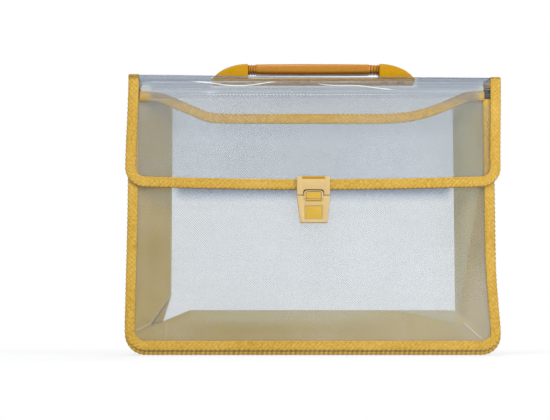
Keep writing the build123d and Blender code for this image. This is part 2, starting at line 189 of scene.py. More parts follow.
class Shader:
    """One material's node tree, built piece by piece."""

    def __init__(self, name):
        self.material = bpy.data.materials.new(name)
        self.material.use_nodes = True
        self.tree = self.material.node_tree
        self.base = self.tree.nodes["Principled BSDF"]

    def set(self, **values):
        """Plain values on the surface shader, with spaces written as underscores."""
        for name, value in values.items():
            self.base.inputs[name.replace("_", " ")].default_value = value

    def link(self, source, socket):
        """Connects an output to an input."""
        self.tree.links.new(source, socket)

    def node(self, kind, inputs=(), output=0, **settings):
        """New node with its settings and inputs, given as values or as other nodes' outputs."""
        made = self.tree.nodes.new("ShaderNode" + kind)
        for name, value in settings.items():
            setattr(made, name, value)
        for key, value in dict(inputs).items():
            if isinstance(value, bpy.types.NodeSocket):
                self.link(value, made.inputs[key])
            else:
                made.inputs[key].default_value = value
        return made.outputs[output]

    def math(self, operation, *values):
        """Result of one sum."""
        return self.node("Math", enumerate(values), operation=operation)

    def total(self, *pairs):
        """Sum of values, each times its share."""
        result = None
        for value, share in pairs:
            part = self.math("MULTIPLY", value, share)
            result = part if result is None else self.math("ADD", result, part)
        return result

    def mix(self, factor, first, second):
        """Colour between two colours."""
        inputs = {0: factor, 6: self.opaque(first), 7: self.opaque(second)}
        return self.node("Mix", inputs, output=2, data_type="RGBA")

    def opaque(self, colour):
        """A colour with its alpha, or the socket itself."""
        return colour if isinstance(colour, bpy.types.NodeSocket) else (*colour, 1)

    def noise(self, vector, scale, detail=2.0):
        """Noise from 0 to 1."""
        return self.node("TexNoise", {"Vector": vector, "Scale": scale, "Detail": detail})

    def stretched(self, vector, scale):
        """Position with each of its parts scaled."""
        return self.node("Mapping", {"Vector": vector, "Scale": scale})

    def spread(self, value, low, high, new_low, new_high):
        """Value moved from one range to another, and held there."""
        return self.node("MapRange", enumerate((value, low, high, new_low, new_high)))

    def painted(self, name):
        """Weight painted on the piece's points."""
        return self.node("Attribute", output=2, attribute_name=name)

    def bump(self, height, distance, strength=1.0):
        """Relief of the surface from a height."""
        inputs = {"Height": height, "Distance": distance, "Strength": strength}
        self.surface("Normal", self.node("Bump", inputs))

    def surface(self, name, source):
        """Connects an output to one input of the surface shader."""
        self.link(source, self.base.inputs[name])

    def object_place(self):
        """Position on the piece."""
        return self.node("TexCoord", output=3)

    def axes(self, vector):
        """The three parts of a position."""
        split = self.tree.nodes.new("ShaderNodeSeparateXYZ")
        self.link(vector, split.inputs[0])
        return split.outputs


def darker(colour, share):
    """The same colour with less light."""
    return tuple(c * share for c in colour)


def diagonal_waves(shader, x, z, pitch):
    """Two crossing sets of diagonal ridges, from -1 to 1 each."""
    turns = 2 * math.pi / (pitch * math.sqrt(2))
    rising = shader.math("SINE", shader.math("MULTIPLY", shader.math("ADD", x, z), turns))
    falling = shader.math("SINE", shader.math("MULTIPLY", shader.math("SUBTRACT", x, z), turns))
    return rising, falling


# How much one surface of a clear sheet covers where it has no haze; each sheet has two surfaces
CLEAREST = 0.12


def clear_sheet_material():
    """Clear polypropylene with a fine diagonal emboss and a cloudy haze that is partly painted reflection,
    whitened creases with painted highlights, painted reflection streaks, haze painted whiter towards the
    bottom as painted light, and darker, denser haze that is a painted shadow under the flap's edge.
    """
    shader = Shader("clear_sheet")
    place = shader.object_place()
    x, y, z = shader.axes(place)
    rising, falling = diagonal_waves(shader, shader.math("ADD", x, y), z, sizes().emboss_pitch)
    emboss = shader.total((rising, 0.7), (falling, 0.3))
    pressed = shader.spread(shader.noise(place, 9, 2), 0.38, 0.62, 0.25, 1)
    emboss = shader.math("MULTIPLY", emboss, pressed)
    cloud = shader.noise(shader.stretched(place, (1, 1, 0.6)), 9, 3)
    cloud = shader.spread(cloud, 0.34, 0.68, 0, 1)
    streak = shader.noise(shader.stretched(place, (2.5, 2.5, 16)), 3, 3)
    streak = shader.spread(streak, 0.4, 0.7, 0, 1)
    scratches = shader.noise(shader.stretched(place, (60, 60, 900)), 1, 2)
    white = shader.painted("whitening_and_highlights")
    dense = shader.painted("density_and_shade")
    base = colours().sheet
    # Painted light: the cloudy haze is painted whiter towards the bottom, and the cloud is partly a painted
    # reflection.
    low = shader.spread(z, 0.04, 0.21, 0.75, 0.4)
    veil = shader.mix(shader.math("MULTIPLY", cloud, low), base, (0.72, 0.78, 0.82))
    # Painted reflections: lighter vertical streaks in the haze.
    veil = shader.mix(shader.math("MULTIPLY", streak, 0.3), veil, (0.5, 0.56, 0.6))
    # Denser haze is darker and bluer; on the front sheet under the flap's edge this darkness is a painted
    # shadow.
    veil = shader.mix(dense, veil, (base[0] * 0.4, base[1] * 0.48, base[2] * 0.7))
    # Whitened creases and painted highlights.
    shader.surface("Base Color", shader.mix(white, veil, (0.95, 0.94, 0.92)))
    grazing = shader.math("POWER", shader.node("LayerWeight", {"Blend": 0.5}, output=1), 3.0)
    solid = shader.total(
        (cloud, 0.05), (streak, 0.02), (emboss, 0.14), (white, 0.8), (grazing, 0.3), (dense, 0.26)
    )
    shader.surface("Alpha", shader.math("ADD", solid, CLEAREST))
    shader.surface("Roughness", shader.spread(scratches, 0.3, 0.8, 0.14, 0.32))
    shader.bump(emboss, 0.06 * MM, 0.6)
    shader.set(IOR=1.8)
    return shader.material


def film_material():
    """Translucent olive film with soft cloudiness, paler where it is thin and where light is painted on its
    bottom middle, and darker where it is doubled and where shade is painted by its pleat and creases.
    """
    shader = Shader("gusset_film")
    place = shader.object_place()
    cloud = shader.noise(place, 14, 3)
    ripple = shader.noise(shader.stretched(place, (40, 40, 8)), 1, 3)
    base = colours().film
    pale = tuple(c * 0.7 + 0.3 * w for c, w in zip(base, (0.76, 0.64, 0.2)))
    shade = shader.mix(shader.spread(cloud, 0.3, 0.75, 0, 1), darker(base, 0.88), pale)
    thin = shader.painted("thin")
    density_and_shade = shader.painted("density_and_shade")
    # Paler where the film is thin, and in its bottom middle, where the paleness is painted light.
    shade = shader.mix(thin, shade, (0.76, 0.68, 0.36))
    # Darker where the film is doubled, and along painted shade lines by its pleat and creases.
    shade = shader.mix(density_and_shade, shade, darker(base, 0.28))
    # Whitened folds and creases, with painted highlights beside the pleat.
    shader.surface("Base Color", shader.mix(shader.painted("whitening_and_highlights"), shade, (0.76, 0.66, 0.36)))
    solid = shader.spread(cloud, 0.2, 0.8, 0.74, 0.64)
    shader.surface("Alpha", shader.math("ADD", solid, shader.total((thin, -0.25), (density_and_shade, 0.25))))
    shader.bump(ripple, 0.4 * MM, 0.35)
    shader.set(Roughness=0.36, IOR=1.45, Specular_IOR_Level=0.3)
    return shader.material


def tape_material():
    """Woven polyester tape: a fine twill that follows the tape, mottled yarns and a dull sheen."""
    shader = Shader("binding_tape")
    along = shader.node("UVMap", uv_map="Along tape")
    u, v, _ = shader.axes(along)
    rising, falling = diagonal_waves(shader, u, v, sizes().rib_pitch / math.sqrt(2))
    weave = shader.total((rising, 0.75), (falling, 0.25))
    place = shader.object_place()
    yarn = shader.noise(shader.stretched(along, (900, 1700, 1)), 1, 3)
    patches = shader.noise(place, 430, 3)
    wear = shader.noise(place, 24, 3)
    base = colours().tape
    bright = (base[0] * 1.2, base[1] * 1.26, base[2] * 2.2)
    deep = (base[0] * 0.82, base[1] * 0.74, base[2] * 0.5)
    tone = shader.mix(shader.spread(patches, 0.34, 0.66, 0, 1), deep, bright)
    tone = shader.mix(shader.spread(yarn, 0.25, 0.75, 0, 0.45), tone, base)
    tone = shader.mix(shader.spread(wear, 0.4, 0.75, 0, 0.3), tone, (0.74, 0.47, 0.11))
    strength = shader.math("ADD", shader.total((shader.painted("edge"), 0.35)), 0.18)
    furrow = shader.math("MULTIPLY", shader.spread(weave, -0.8, 0.8, 1, 0), strength)
    tone = shader.mix(furrow, tone, darker(base, 0.42))
    # Painted shade from the tape's shade weights: in the groove above the corded lip, on the cord's upper
    # side and under the flap's lower edge; the tape is also darker over the lid's front fold.
    shader.surface("Base Color", shader.mix(shader.painted("shade"), tone, darker(base, 0.16)))
    shader.bump(shader.total((weave, 0.45), (yarn, 1.2)), 0.12 * MM, 0.9)
    shader.set(Roughness=0.66, Sheen_Weight=0.15, Sheen_Roughness=0.4, Specular_IOR_Level=0.3)
    return shader.material


def moulded_material(name, colour, roughness, grain=0.02, coat=0.0, specular=0.4):
    """Moulded plastic with faint flow marks, rubbed patches and painted shade on its edges."""
    shader = Shader(name)
    place = shader.object_place()
    flow = shader.noise(shader.stretched(place, (25, 60, 60)), 1, 3)
    rub = shader.noise(place, 90, 4)
    speck = shader.noise(place, 900, 2)
    tone = shader.mix(shader.spread(flow, 0.3, 0.7, 0, 0.3), colour, darker(colour, 0.82))
    tone = shader.mix(shader.spread(speck, 0.55, 0.75, 0, 0.25), tone, darker(colour, 0.7))
    # Painted shade from the pieces' shade weights, on their edges and walls.
    shader.surface("Base Color", shader.mix(shader.painted("shade"), tone, darker(colour, 0.2)))
    shader.surface("Roughness", shader.spread(rub, 0.3, 0.75, roughness * 0.8, roughness * 1.35))
    shader.bump(rub, grain * MM, 0.5)
    shader.set(Coat_Weight=coat, Coat_Roughness=0.12, Specular_IOR_Level=specular)
    return shader.material


def steel_material():
    """Dark plated steel, brushed and rubbed bright at random."""
    shader = Shader("dark_steel")
    place = shader.object_place()
    brushed = shader.noise(shader.stretched(place, (300, 300, 3000)), 1, 2)
    rub = shader.noise(place, 260, 3)
    base = colours().steel
    tone = shader.mix(shader.spread(rub, 0.45, 0.8, 0, 0.6), base, tuple(c * 2.2 for c in base))
    shader.surface("Base Color", tone)
    shader.surface("Roughness", shader.spread(brushed, 0.3, 0.7, 0.32, 0.5))
    shader.bump(brushed, 0.02 * MM, 0.4)
    shader.set(Metallic=0.25, Specular_IOR_Level=0.3)
    return shader.material


materials = {}


def make_materials():
    """Every finish, by its slot's name."""
    tones = colours()
    materials["clear_sheet"] = clear_sheet_material()
    materials["gusset_film"] = film_material()
    materials["binding_tape"] = tape_material()
    materials["handle_plastic"] = moulded_material("handle_plastic", tones.handle, 0.3, 0.01, 0.0, 0.18)
    materials["grip_plastic"] = moulded_material("grip_plastic", tones.grip, 0.3, 0.01, 0.1, 0.3)
    materials["lock_plastic"] = moulded_material("lock_plastic", tones.lock, 0.36)
    materials["button_plastic"] = moulded_material("button_plastic", tones.button, 0.34)
    materials["dark_steel"] = steel_material()


def finish_node(node, slot):
    """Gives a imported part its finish."""
    part = nodes[node]
    part.data.materials.clear()
    part.data.materials.append(materials[slot])


# Meshes are built as parts: dictionaries of points, faces, uv and painted weights


def make_piece(name, slot, part, closed=True, sharp=None):
    """Mesh object from a part, with its finish, its place along the tape and its painted weights."""
    mesh = bpy.data.meshes.new(name)
    mesh.from_pydata(part["points"], [], part["faces"])
    mesh.materials.append(materials[slot])
    if part.get("uv"):
        layer = mesh.uv_layers.new(name="Along tape")
        for loop in mesh.loops:
            layer.data[loop.index].uv = part["uv"][loop.vertex_index]
    for key in ("whitening_and_highlights", "edge", "shade", "thin", "density_and_shade"):
        if part.get(key):
            mesh.attributes.new(key, "FLOAT", "POINT").data.foreach_set("value", part[key])
    if closed:
        face_outwards(mesh)
    mesh.polygons.foreach_set("use_smooth", [True] * len(mesh.polygons))
    if sharp:
        mesh.set_sharp_from_angle(angle=math.radians(sharp))
    mesh.update()
    piece = bpy.data.objects.new(name, mesh)
    bpy.context.scene.collection.objects.link(piece)
    return piece


def face_outwards(mesh):
    """Turns the faces of closed shells outwards."""
    edit = bmesh.new()
    edit.from_mesh(mesh)
    bmesh.ops.recalc_face_normals(edit, faces=edit.faces)
    edit.to_mesh(mesh)
    edit.free()


def join_parts(parts):
    """One part from several."""
    joined = {}
    offset = 0
    for part in parts:
        for key, values in part.items():
            if key == "faces":
                values = [tuple(i + offset for i in face) for face in values]
            joined.setdefault(key, []).extend(values)
        offset += len(part["points"])
    return joined


def grid_faces(rows, columns, closed=False):
    """Faces of a grid whose points lie row by row, joined round if closed."""
    faces = []
    for row in range(0, (rows - 1) * columns, columns):
        for here in range(columns if closed else columns - 1):
            ahead = (here + 1) % columns
            faces.append((row + here, row + columns + here, row + columns + ahead, row + ahead))
    return faces


def skin(sections, ends=True):
    """Shell through sections of the same number of points, closed at its ends or joined round."""
    count = len(sections[0])
    points = [tuple(p) for section in sections for p in section]
    faces = grid_faces(len(sections), count, closed=True)
    last = len(points) - count
    if ends:
        faces += [tuple(range(count)), tuple(range(last, len(points)))]
    else:
        faces += [(last + c, c, (c + 1) % count, last + (c + 1) % count) for c in range(count)]
    return {"points": points, "faces": faces}


def thicken(piece, thickness):
    """Gives a thin surface its thickness, half to each side."""
    modifier = piece.modifiers.new("Thickness", "SOLIDIFY")
    modifier.thickness = thickness
    modifier.offset = 0


# How the soft panels are pulled out of true


def front_pull(x, z):
    """Sideways pull of the front panel, whose mouth is drawn in at the right."""
    if x > 0:
        return -6.6 * MM * (x / half_width) * ease(-30 * MM, 110 * MM, z)
    return 1.8 * MM * (-x / half_width) * ease(0, 165 * MM, z)


def pull_front(point):
    """The front panel's pull on a point."""
    return Vector((point.x + front_pull(point.x, point.z), point.y, point.z))


def lid_pull(point):
    """Pull of the lid: it leans to the right at its top and buckles up at its left front corner."""
    x, y, z = point
    up = ease(185 * MM, 276 * MM, z)
    forward = 1 - 0.7 * ease(-12 * MM, 20 * MM, y)
    lean = (2.3 * up - 1.2 if x < 0 else 0.2 + 1.6 * up) * MM * abs(x) / lid_half_width * forward
    at_front = 1 - ease(-15.4 * MM, -11 * MM, y)
    high = ease(273.5 * MM, 278.6 * MM, z)
    lift = 2.6 * MM * ease(-30 * MM, 187 * MM, -x) - 0.5 * MM * ease(100 * MM, 187 * MM, x)
    return Vector((x + lean, y, z + lift * at_front * high))


def pulled(stations, pull):
    """Stations moved by a pull."""
    return [(pull(point), inward, face) for point, inward, face in stations]


# Folded tape


def tape_section(width, half, crown=0.0):
    """Outline of a tape folded over an edge: distance in from the edge and height from the middle."""
    thin = half - 0.18 * MM
    inner = sheet_half + 0.02 * MM
    face = [
        (width, inner), (width, thin), (width - 0.5 * MM, half), (width * 0.7, half + crown),
        (width * 0.4, half + crown), (2.0 * MM, half), (1.0 * MM, half * 0.88), (0.35 * MM, half * 0.6),
    ]
    back = [(d, -h) for d, h in reversed(face)]
    return face + [(0, 0)] + back + [(1.1 * MM, -inner), (1.1 * MM, inner)]


def sweep_tape(stations, width, half, crown=0.0, ribbed=True, shade=None):
    """Tape that runs through stations of (point, inward, face); shade gives its darkness at a place."""
    section = tape_section(width, half, crown)
    pitch = sizes().rib_pitch
    height = sizes().rib_height
    across = [0.0]
    for (d, h), (e, g) in zip(section, section[1:]):
        across.append(across[-1] + math.hypot(e - d, g - h))
    points = []
    uv = []
    edges = []
    shades = []
    run = 0.0
    previous = None
    for point, inward, face in stations:
        if previous is not None:
            run += (point - previous).length
        previous = point
        ridge = math.sin(2 * math.pi * run / pitch) if ribbed else 0
        pucker = 0.1 * math.sin(run / (9 * MM)) + 0.06 * math.sin(run / (3.7 * MM) + 1)
        for number, (d, h) in enumerate(section):
            at_selvedge = d > width - 0.1 * MM
            at_fold = d < 1.2 * MM
            shift = height * ridge * (0.7 if at_selvedge else -1.0 if at_fold else 0)
            lift = 0 if at_selvedge or abs(h) < half * 0.9 else pucker * MM * (1 if h > 0 else -1)
            place = point + inward * (d + shift) + face * (h + lift * 0.6)
            points.append(place)
            uv.append((run, across[number]))
            edges.append(1.0 if at_fold or at_selvedge else 0.35 if d < 2.2 * MM else 0.0)
            shades.append(shade(place, d) if shade else 0.0)
    part = skin([points[i:i + len(section)] for i in range(0, len(points), len(section))])
    part.update(uv=uv, edge=edges, shade=shades)
    return part


def sweep_cord(stations, inset_by, half_rise, half_depth):
    """Corded lip along stations: an oval cord with a twist in it, with painted shade along its upper side and
    in its twist.
    """
    count = 14
    pitch = sizes().rib_pitch
    sections = []
    uv = []
    shades = []
    run = 0.0
    previous = None
    for point, inward, face in stations:
        if previous is not None:
            run += (point - previous).length
        previous = point
        turn = 2 * math.pi * run / pitch
        ring = []
        for i in range(count):
            angle = 2 * math.pi * i / count
            twist = 1 + 0.13 * math.sin(turn + 2 * angle)
            rise = half_rise * math.cos(angle) * twist
            ring.append(point + inward * (inset_by + rise) + face * (half_depth * math.sin(angle) * twist))
            uv.append((run, angle * half_rise))
            shades.append(0.2 + 0.5 * ease(0.35, 0.8, math.cos(angle)) + 0.14 * math.sin(turn))
        sections.append(ring)
    part = skin(sections)
    part.update(uv=uv, edge=[1.0] * len(uv), shade=shades)
    return part


def cup_path(half, top, low, corner, step, sag=0.0):
    """Points down one side, round the bottom and up the other, with the direction inwards."""
    path = []
    for z in spaced(top, low + corner, step):
        path.append((-half, z, 1, 0))
    turn = step / corner
    for angle in spaced(math.pi, 1.5 * math.pi, turn)[1:]:
        path.append((
            -half + corner + corner * math.cos(angle), low + corner + corner * math.sin(angle),
            -math.cos(angle), -math.sin(angle),
        ))
    flat = half - corner
    for x in spaced(-flat, flat, step)[1:]:
        path.append((x, low, 0, 1))
    for angle in spaced(1.5 * math.pi, 2 * math.pi, turn)[1:]:
        path.append((
            half - corner + corner * math.cos(angle), low + corner + corner * math.sin(angle),
            -math.cos(angle), -math.sin(angle),
        ))
    for z in spaced(low + corner, top, step)[1:]:
        path.append((half, z, -1, 0))
    return [(x, z + sag_at(x, z, half, low, corner, sag), nx, nz) for x, z, nx, nz in path]


def sag_at(x, z, half, low, corner, sag):
    """How far an edge hangs down in its middle and lifts at its corners."""
    share = 1 - ease(low + corner * 0.4, low + corner * 2, z)
    return sag * (2 * (x / half) ** 2 - 1) * share


def stations_on(path, middle, face):
    """Tape stations for a path in X and Z, at one depth."""
    normal = Vector((0, face, 0))
    return [(Vector((x, middle, z)), Vector((nx, 0, nz)), normal) for x, z, nx, nz in path]


# Rise of the mouth's edge above its middle, against the distance from the middle, in millimetres
MOUTH_LEFT = (
    (72, 0), (92, 0.3), (105, 1.4), (120, 7.4), (138.8, 15.2), (148.1, 19.2), (160, 22.2), (178, 23.2),
)
MOUTH_RIGHT = (
    (68, 0), (84, 0.6), (99.6, 2.1), (111.3, 4.5), (123.2, 8.0), (140.9, 14.6), (150, 18.6), (158.6, 21.9),
    (166, 23.2), (178, 23.6),
)


def mouth_height(x):
    """Height of the front panel's top line, which steps down in a long slope from each side."""
    line = MOUTH_LEFT if x < 0 else MOUTH_RIGHT
    return mouth_low.z + sizes().tape_width + smooth_line(line, abs(x) / MM) * MM


def mouth_path(step):
    """Points along the front panel's top line, with the direction inwards."""
    reach = mouth_high.x
    path = []
    for x in spaced(-reach, reach, step):
        slope = (mouth_height(x + step) - mouth_height(x - step)) / (2 * step)
        down = Vector((slope, -1)).normalized()
        path.append((x, mouth_height(x), down.x, down.y))
    return path


def new_tree(name, *inputs):
    """Geometry node tree with a geometry input and output and the inputs named."""
    tree = bpy.data.node_groups.new(name, "GeometryNodeTree")
    tree.interface.new_socket("Geometry", in_out="INPUT", socket_type="NodeSocketGeometry")
    for label, kind in inputs:
        tree.interface.new_socket(label, in_out="INPUT", socket_type="NodeSocket" + kind)
    tree.interface.new_socket("Geometry", in_out="OUTPUT", socket_type="NodeSocketGeometry")
    return tree, tree.nodes.new("NodeGroupInput"), tree.nodes.new("NodeGroupOutput")


def end_tree(tree, instances, given, made):
    """Makes instances real and gives them their finish."""
    real = tree.nodes.new("GeometryNodeRealizeInstances")
    smooth = tree.nodes.new("GeometryNodeSetShadeSmooth")
    finish = tree.nodes.new("GeometryNodeSetMaterial")
    tree.links.new(instances, real.inputs[0])
    tree.links.new(real.outputs[0], smooth.inputs["Geometry"])
    tree.links.new(smooth.outputs[0], finish.inputs["Geometry"])
    tree.links.new(given.outputs["Material"], finish.inputs["Material"])
    tree.links.new(finish.outputs[0], made.inputs[0])


def stitch_tree():
    """Geometry nodes that sew a row of stitches along the object's edges."""
    tree, given, made = new_tree(
        "Stitches", ("Pitch", "Float"), ("Length", "Float"), ("Radius", "Float"), ("Material", "Material")
    )
    add = tree.nodes.new
    link = tree.links.new
    curve = add("GeometryNodeMeshToCurve")
    link(given.outputs["Geometry"], curve.inputs[0])
    resample = add("GeometryNodeResampleCurve")
    resample.mode = "LENGTH"
    link(curve.outputs[0], resample.inputs["Curve"])
    link(given.outputs["Pitch"], resample.inputs["Length"])
    thread = add("GeometryNodeMeshUVSphere")
    thread.inputs["Segments"].default_value = 6
    thread.inputs["Rings"].default_value = 5
    thread.inputs["Radius"].default_value = 1
    half = add("ShaderNodeMath")
    half.operation = "MULTIPLY"
    half.inputs[1].default_value = 0.5
    link(given.outputs["Length"], half.inputs[0])
    scale = add("ShaderNodeCombineXYZ")
    link(given.outputs["Radius"], scale.inputs[0])
    link(given.outputs["Radius"], scale.inputs[1])
    link(half.outputs[0], scale.inputs[2])
    tangent = add("GeometryNodeInputTangent")
    turn = add("FunctionNodeAlignRotationToVector")
    turn.axis = "Z"
    link(tangent.outputs[0], turn.inputs["Vector"])
    spots = add("GeometryNodeInstanceOnPoints")
    link(resample.outputs[0], spots.inputs["Points"])
    link(thread.outputs["Mesh"], spots.inputs["Instance"])
    link(turn.outputs[0], spots.inputs["Rotation"])
    link(scale.outputs[0], spots.inputs["Scale"])
    end_tree(tree, spots.outputs[0], given, made)
    return tree


def rib_tree():
    """Geometry nodes that repeat one rib along a line."""
    tree, given, made = new_tree("Ribs", ("Count", "Int"), ("Offset", "Vector"), ("Material", "Material"))
    line = tree.nodes.new("GeometryNodeMeshLine")
    tree.links.new(given.outputs["Count"], line.inputs["Count"])
    tree.links.new(given.outputs["Offset"], line.inputs["Offset"])
    spots = tree.nodes.new("GeometryNodeInstanceOnPoints")
    tree.links.new(line.outputs[0], spots.inputs["Points"])
    tree.links.new(given.outputs["Geometry"], spots.inputs["Instance"])
    end_tree(tree, spots.outputs[0], given, made)
    return tree


def run_tree(name, tree, points, edges, faces, values):
    """Plain mesh piece that a tree makes from a base mesh."""
    base = bpy.data.meshes.new(name + "_base")
    base.from_pydata(points, edges, faces)
    holder = bpy.data.objects.new(name + "_base", base)
    bpy.context.scene.collection.objects.link(holder)
    modifier = holder.modifiers.new("Nodes", "NODES")
    modifier.node_group = tree
    for item in tree.interface.items_tree:
        if item.in_out == "INPUT" and item.name in values:
            modifier[item.identifier] = values[item.name]
    shown = holder.evaluated_get(bpy.context.evaluated_depsgraph_get())
    mesh = bpy.data.meshes.new_from_object(shown)
    mesh.name = name
    holder.modifiers.remove(modifier)
    bpy.data.objects.remove(holder)
    piece = bpy.data.objects.new(name, mesh)
    bpy.context.scene.collection.objects.link(piece)
    return piece


def sew(name, rows):
    """Stitches along rows of points."""
    points = []
    edges = []
    for row in rows:
        first = len(points)
        points += row
        edges += [(i, i + 1) for i in range(first, len(points) - 1)]
    size = sizes()
    values = {
        "Pitch": size.stitch_pitch, "Length": size.stitch_length, "Radius": size.stitch_radius,
        "Material": materials["binding_tape"],
    }
    return run_tree(name, stitch_tree(), points, edges, [], values)


def stitch_row(stations, inset_by, height, every=4):
    """Points of one row of stitches on a tape."""
    return [point + inward * inset_by + face * height for point, inward, face in stations[::every]]


STATION_STEP = 0.45 * MM
STITCH_INSET = 1.5 * MM

# How far a panel's tape is moved outwards and thickened, how high the lip runs up the sides as a
# share of the corner, and its width as a share of the tape's
PROUD = 0.1 * MM
LIP_RISE = 1.15
LIP_SHARE = 0.9985


def groove_shade(place, d):
    """Dark line along the fold above the corded lip."""
    bottom = sizes().hem_drop + 1.6 * MM
    return 0.4 * (1 - ease(0.2 * MM, 1.1 * MM, d)) * (1 - ease(bottom, bottom + 16 * MM, place.z))


def panel_tape(name, body, node, middle, face, top, pull=None):
    """Tape of one panel: the folded tape over the sides and bottom, and the hem's corded lower lip."""
    size = sizes()
    width = size.tape_width
    half = sheet_half + size.tape_thickness
    upper = cup_path(half_width, top, size.hem_drop, size.bag_corner, STATION_STEP)
    upper = stations_on(upper, middle, face)
    lip = cup_path(half_width, size.bag_corner * LIP_RISE, 0.2 * MM, size.bag_corner, STATION_STEP)
    lip = [(x * LIP_SHARE, z, nx, nz) for x, z, nx, nz in lip]
    lip = stations_on(lip, middle, face)
    if pull:
        upper = pulled(upper, pull)
        lip = pulled(lip, pull)
    outwards = [(point + normal * PROUD, inward, normal) for point, inward, normal in upper]
    parts = [
        sweep_tape(outwards, width, half + PROUD, PROUD, shade=groove_shade),
        sweep_cord(lip, 2.0 * MM, 1.85 * MM, 0.8 * MM),
    ]
    piece = make_piece(name, "binding_tape", join_parts(parts))
    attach(piece, body)
    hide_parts(node)
    surface = half + 0.27 * MM
    row = [p for p in stitch_row(upper, width - STITCH_INSET, surface) if p.z < top - 3 * MM]
    half_row = len(row) // 2
    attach(sew(name + "_stitches", [row[:half_row], row[half_row:]]), body)


def mouth_tape():
    """Tape over the front panel's scooped top edge."""
    size = sizes()
    half = sheet_half + size.tape_thickness
    stations = pulled(stations_on(mouth_path(STATION_STEP), front_middle, -1), pull_front)
    piece = make_piece("mouth_tape", "binding_tape", sweep_tape(stations, size.tape_width, half, 0.1 * MM))
    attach(piece, "front")
    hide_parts("front_mouth_tape")
    surface = half + 0.09 * MM
    inset_by = size.tape_width - STITCH_INSET
    rows = [stitch_row(stations, inset_by, surface), stitch_row(stations, inset_by, -surface)]
    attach(sew("mouth_tape_stitches", rows), "front")


# Clear sheets


# Distance from the middle past which the tapes hold a sheet flat
SLACK_END = 172 * MM


def waves(x, z, size):
    """Gentle random-looking waves from -1 to 1."""
    return (
        math.sin(x / size + 0.6) * math.cos(z / (1.3 * size) + 1.1)
        + 0.5 * math.sin(1.9 * x / size - z / size + 2.3)
    ) / 1.5


def cup_low(x, half, low, corner):
    """Height of the rounded lower outline at x."""
    past = abs(x) - (half - corner)
    if past <= 0:
        return low
    return low + corner - math.sqrt(max(0, corner**2 - past**2))


def columns_for(half, corner):
    """X places of a sheet's columns, closer at its corners."""
    flat = half - corner
    curved = [flat + corner * math.sin(math.radians(a)) for a in range(6, 91, 6)]
    return [-x for x in reversed(curved)] + spaced(-flat, flat, 4 * MM) + curved


def upright_sheet(name, body, node, half, low, corner, top, shape, dense, rows):
    """Upright clear sheet between its rounded lower outline and its top line."""
    columns = columns_for(half, corner)
    points = []
    density_and_shade = []
    for row in range(rows + 1):
        for x in columns:
            bottom = cup_low(x, half, low, corner)
            z = bottom + (top(x) - bottom) * row / rows
            points.append(shape(x, z))
            density_and_shade.append(dense(x, z))
    part = {"points": points, "faces": grid_faces(rows + 1, len(columns)), "density_and_shade": density_and_shade}
    piece = make_piece(name, "clear_sheet", part, closed=False)
    thicken(piece, 2 * sheet_half)
    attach(piece, body)
    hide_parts(node)
    return piece


def near_lock(x, z):
    """1 at the lock and 0 well away from it."""
    return (1 - ease(20 * MM, 60 * MM, abs(x))) * (1 - ease(22 * MM, 60 * MM, abs(z - body_high.z)))


def slack(x, z, side, low, clear_low, clear_high, high):
    """How free a sheet is to bow, from 0 near its tapes to 1 well inside, for places in millimetres."""
    sideways = 1 - ease(side * MM, SLACK_END, abs(x))
    return sideways * ease(low * MM, clear_low * MM, z) * (1 - ease(clear_high * MM, high * MM, z))


def back_shape(x, z):
    """The back sheet, nearly flat."""
    free = slack(x, z, 120, 45, 100, 230, 268)
    return (x, back_middle + free * 0.5 * MM * waves(x, z, 55 * MM), z)


def front_shape(x, z):
    """The front sheet, which bows a little outwards and is drawn in at its mouth."""
    free = slack(x, z, 110, 45, 95, 190, 228)
    bow = -0.5 * MM + 0.4 * MM * waves(x, z, 48 * MM)
    return (x + front_pull(x, z), front_middle + free * (1 - near_lock(x, z)) * bow, z)


def flap_shape(x, z):
    """The flap's sheet, which bows outwards between its tapes."""
    free = slack(x, z, 120, 179, 215, 232, 256)
    bow = -1.4 * MM + 0.5 * MM * waves(x, z, 42 * MM)
    return lid_pull((x, flap_middle + free * (1 - near_lock(x, z)) * bow, z))


def back_dense(x, z):
    """How dense the back sheet's haze is: denser in two steps towards its top."""
    return 0.05 + 0.35 * ease(165 * MM, 180 * MM, z) + 0.25 * ease(218 * MM, 240 * MM, z)


def front_haze_and_shadow(x, z):
    """How dense and dark the front sheet's haze is: a faint haze all over, and a painted shadow in a soft
    band under the flap's edge.
    """
    level = flap_edge_low.z - 1.2 * MM
    reach = 14 * MM
    below = max(0, min(1, (z - level) / reach + 1)) ** 1.3
    above = 1 - ease(level + 0.5 * MM, level + 10 * MM, z)
    sides = 1 - ease(130 * MM, 144 * MM, abs(x + front_pull(x, z)))
    # Painted shadow of the flap's edge in the band, over the sheet's own faint haze.
    return 1.3 * below * above * sides + 0.09


def clip_clear(x, z):
    """How much clearer the lid is in front of the corner clips."""
    height = ease(245 * MM, 256 * MM, z) * (1 - ease(270 * MM, 273 * MM, z))
    return 0.85 * ease(160 * MM, 172 * MM, abs(x)) * height


def flap_dense(x, z):
    """How dense the flap's haze is: most at its fold."""
    return 0.4 * ease(240 * MM, 258 * MM, z) - 0.24 - clip_clear(x, z)


def clear_panels():
    """Back, front and flap."""
    size = sizes()
    edge = size.tape_thickness
    corner = size.bag_corner - edge
    upright_sheet(
        "back_sheet", "back", "back_panel", back_high.x, back_low.z, corner,
        lambda x: back_high.z, back_shape, back_dense, rows=72,
    )
    upright_sheet(
        "front_sheet", "front", "front_panel", front_high.x, front_low.z, corner,
        lambda x: mouth_height(x) - edge, front_shape, front_haze_and_shadow, rows=120,
    )
    upright_sheet(
        "flap_sheet", "flap", "lid_flap", flap_high.x, flap_low.z, size.lid_corner - edge,
        lambda x: flap_high.z, flap_shape, flap_dense, rows=32,
    )


# Lid folds


LID_STEP = 0.12 * MM
NEAR = 0.01 * MM


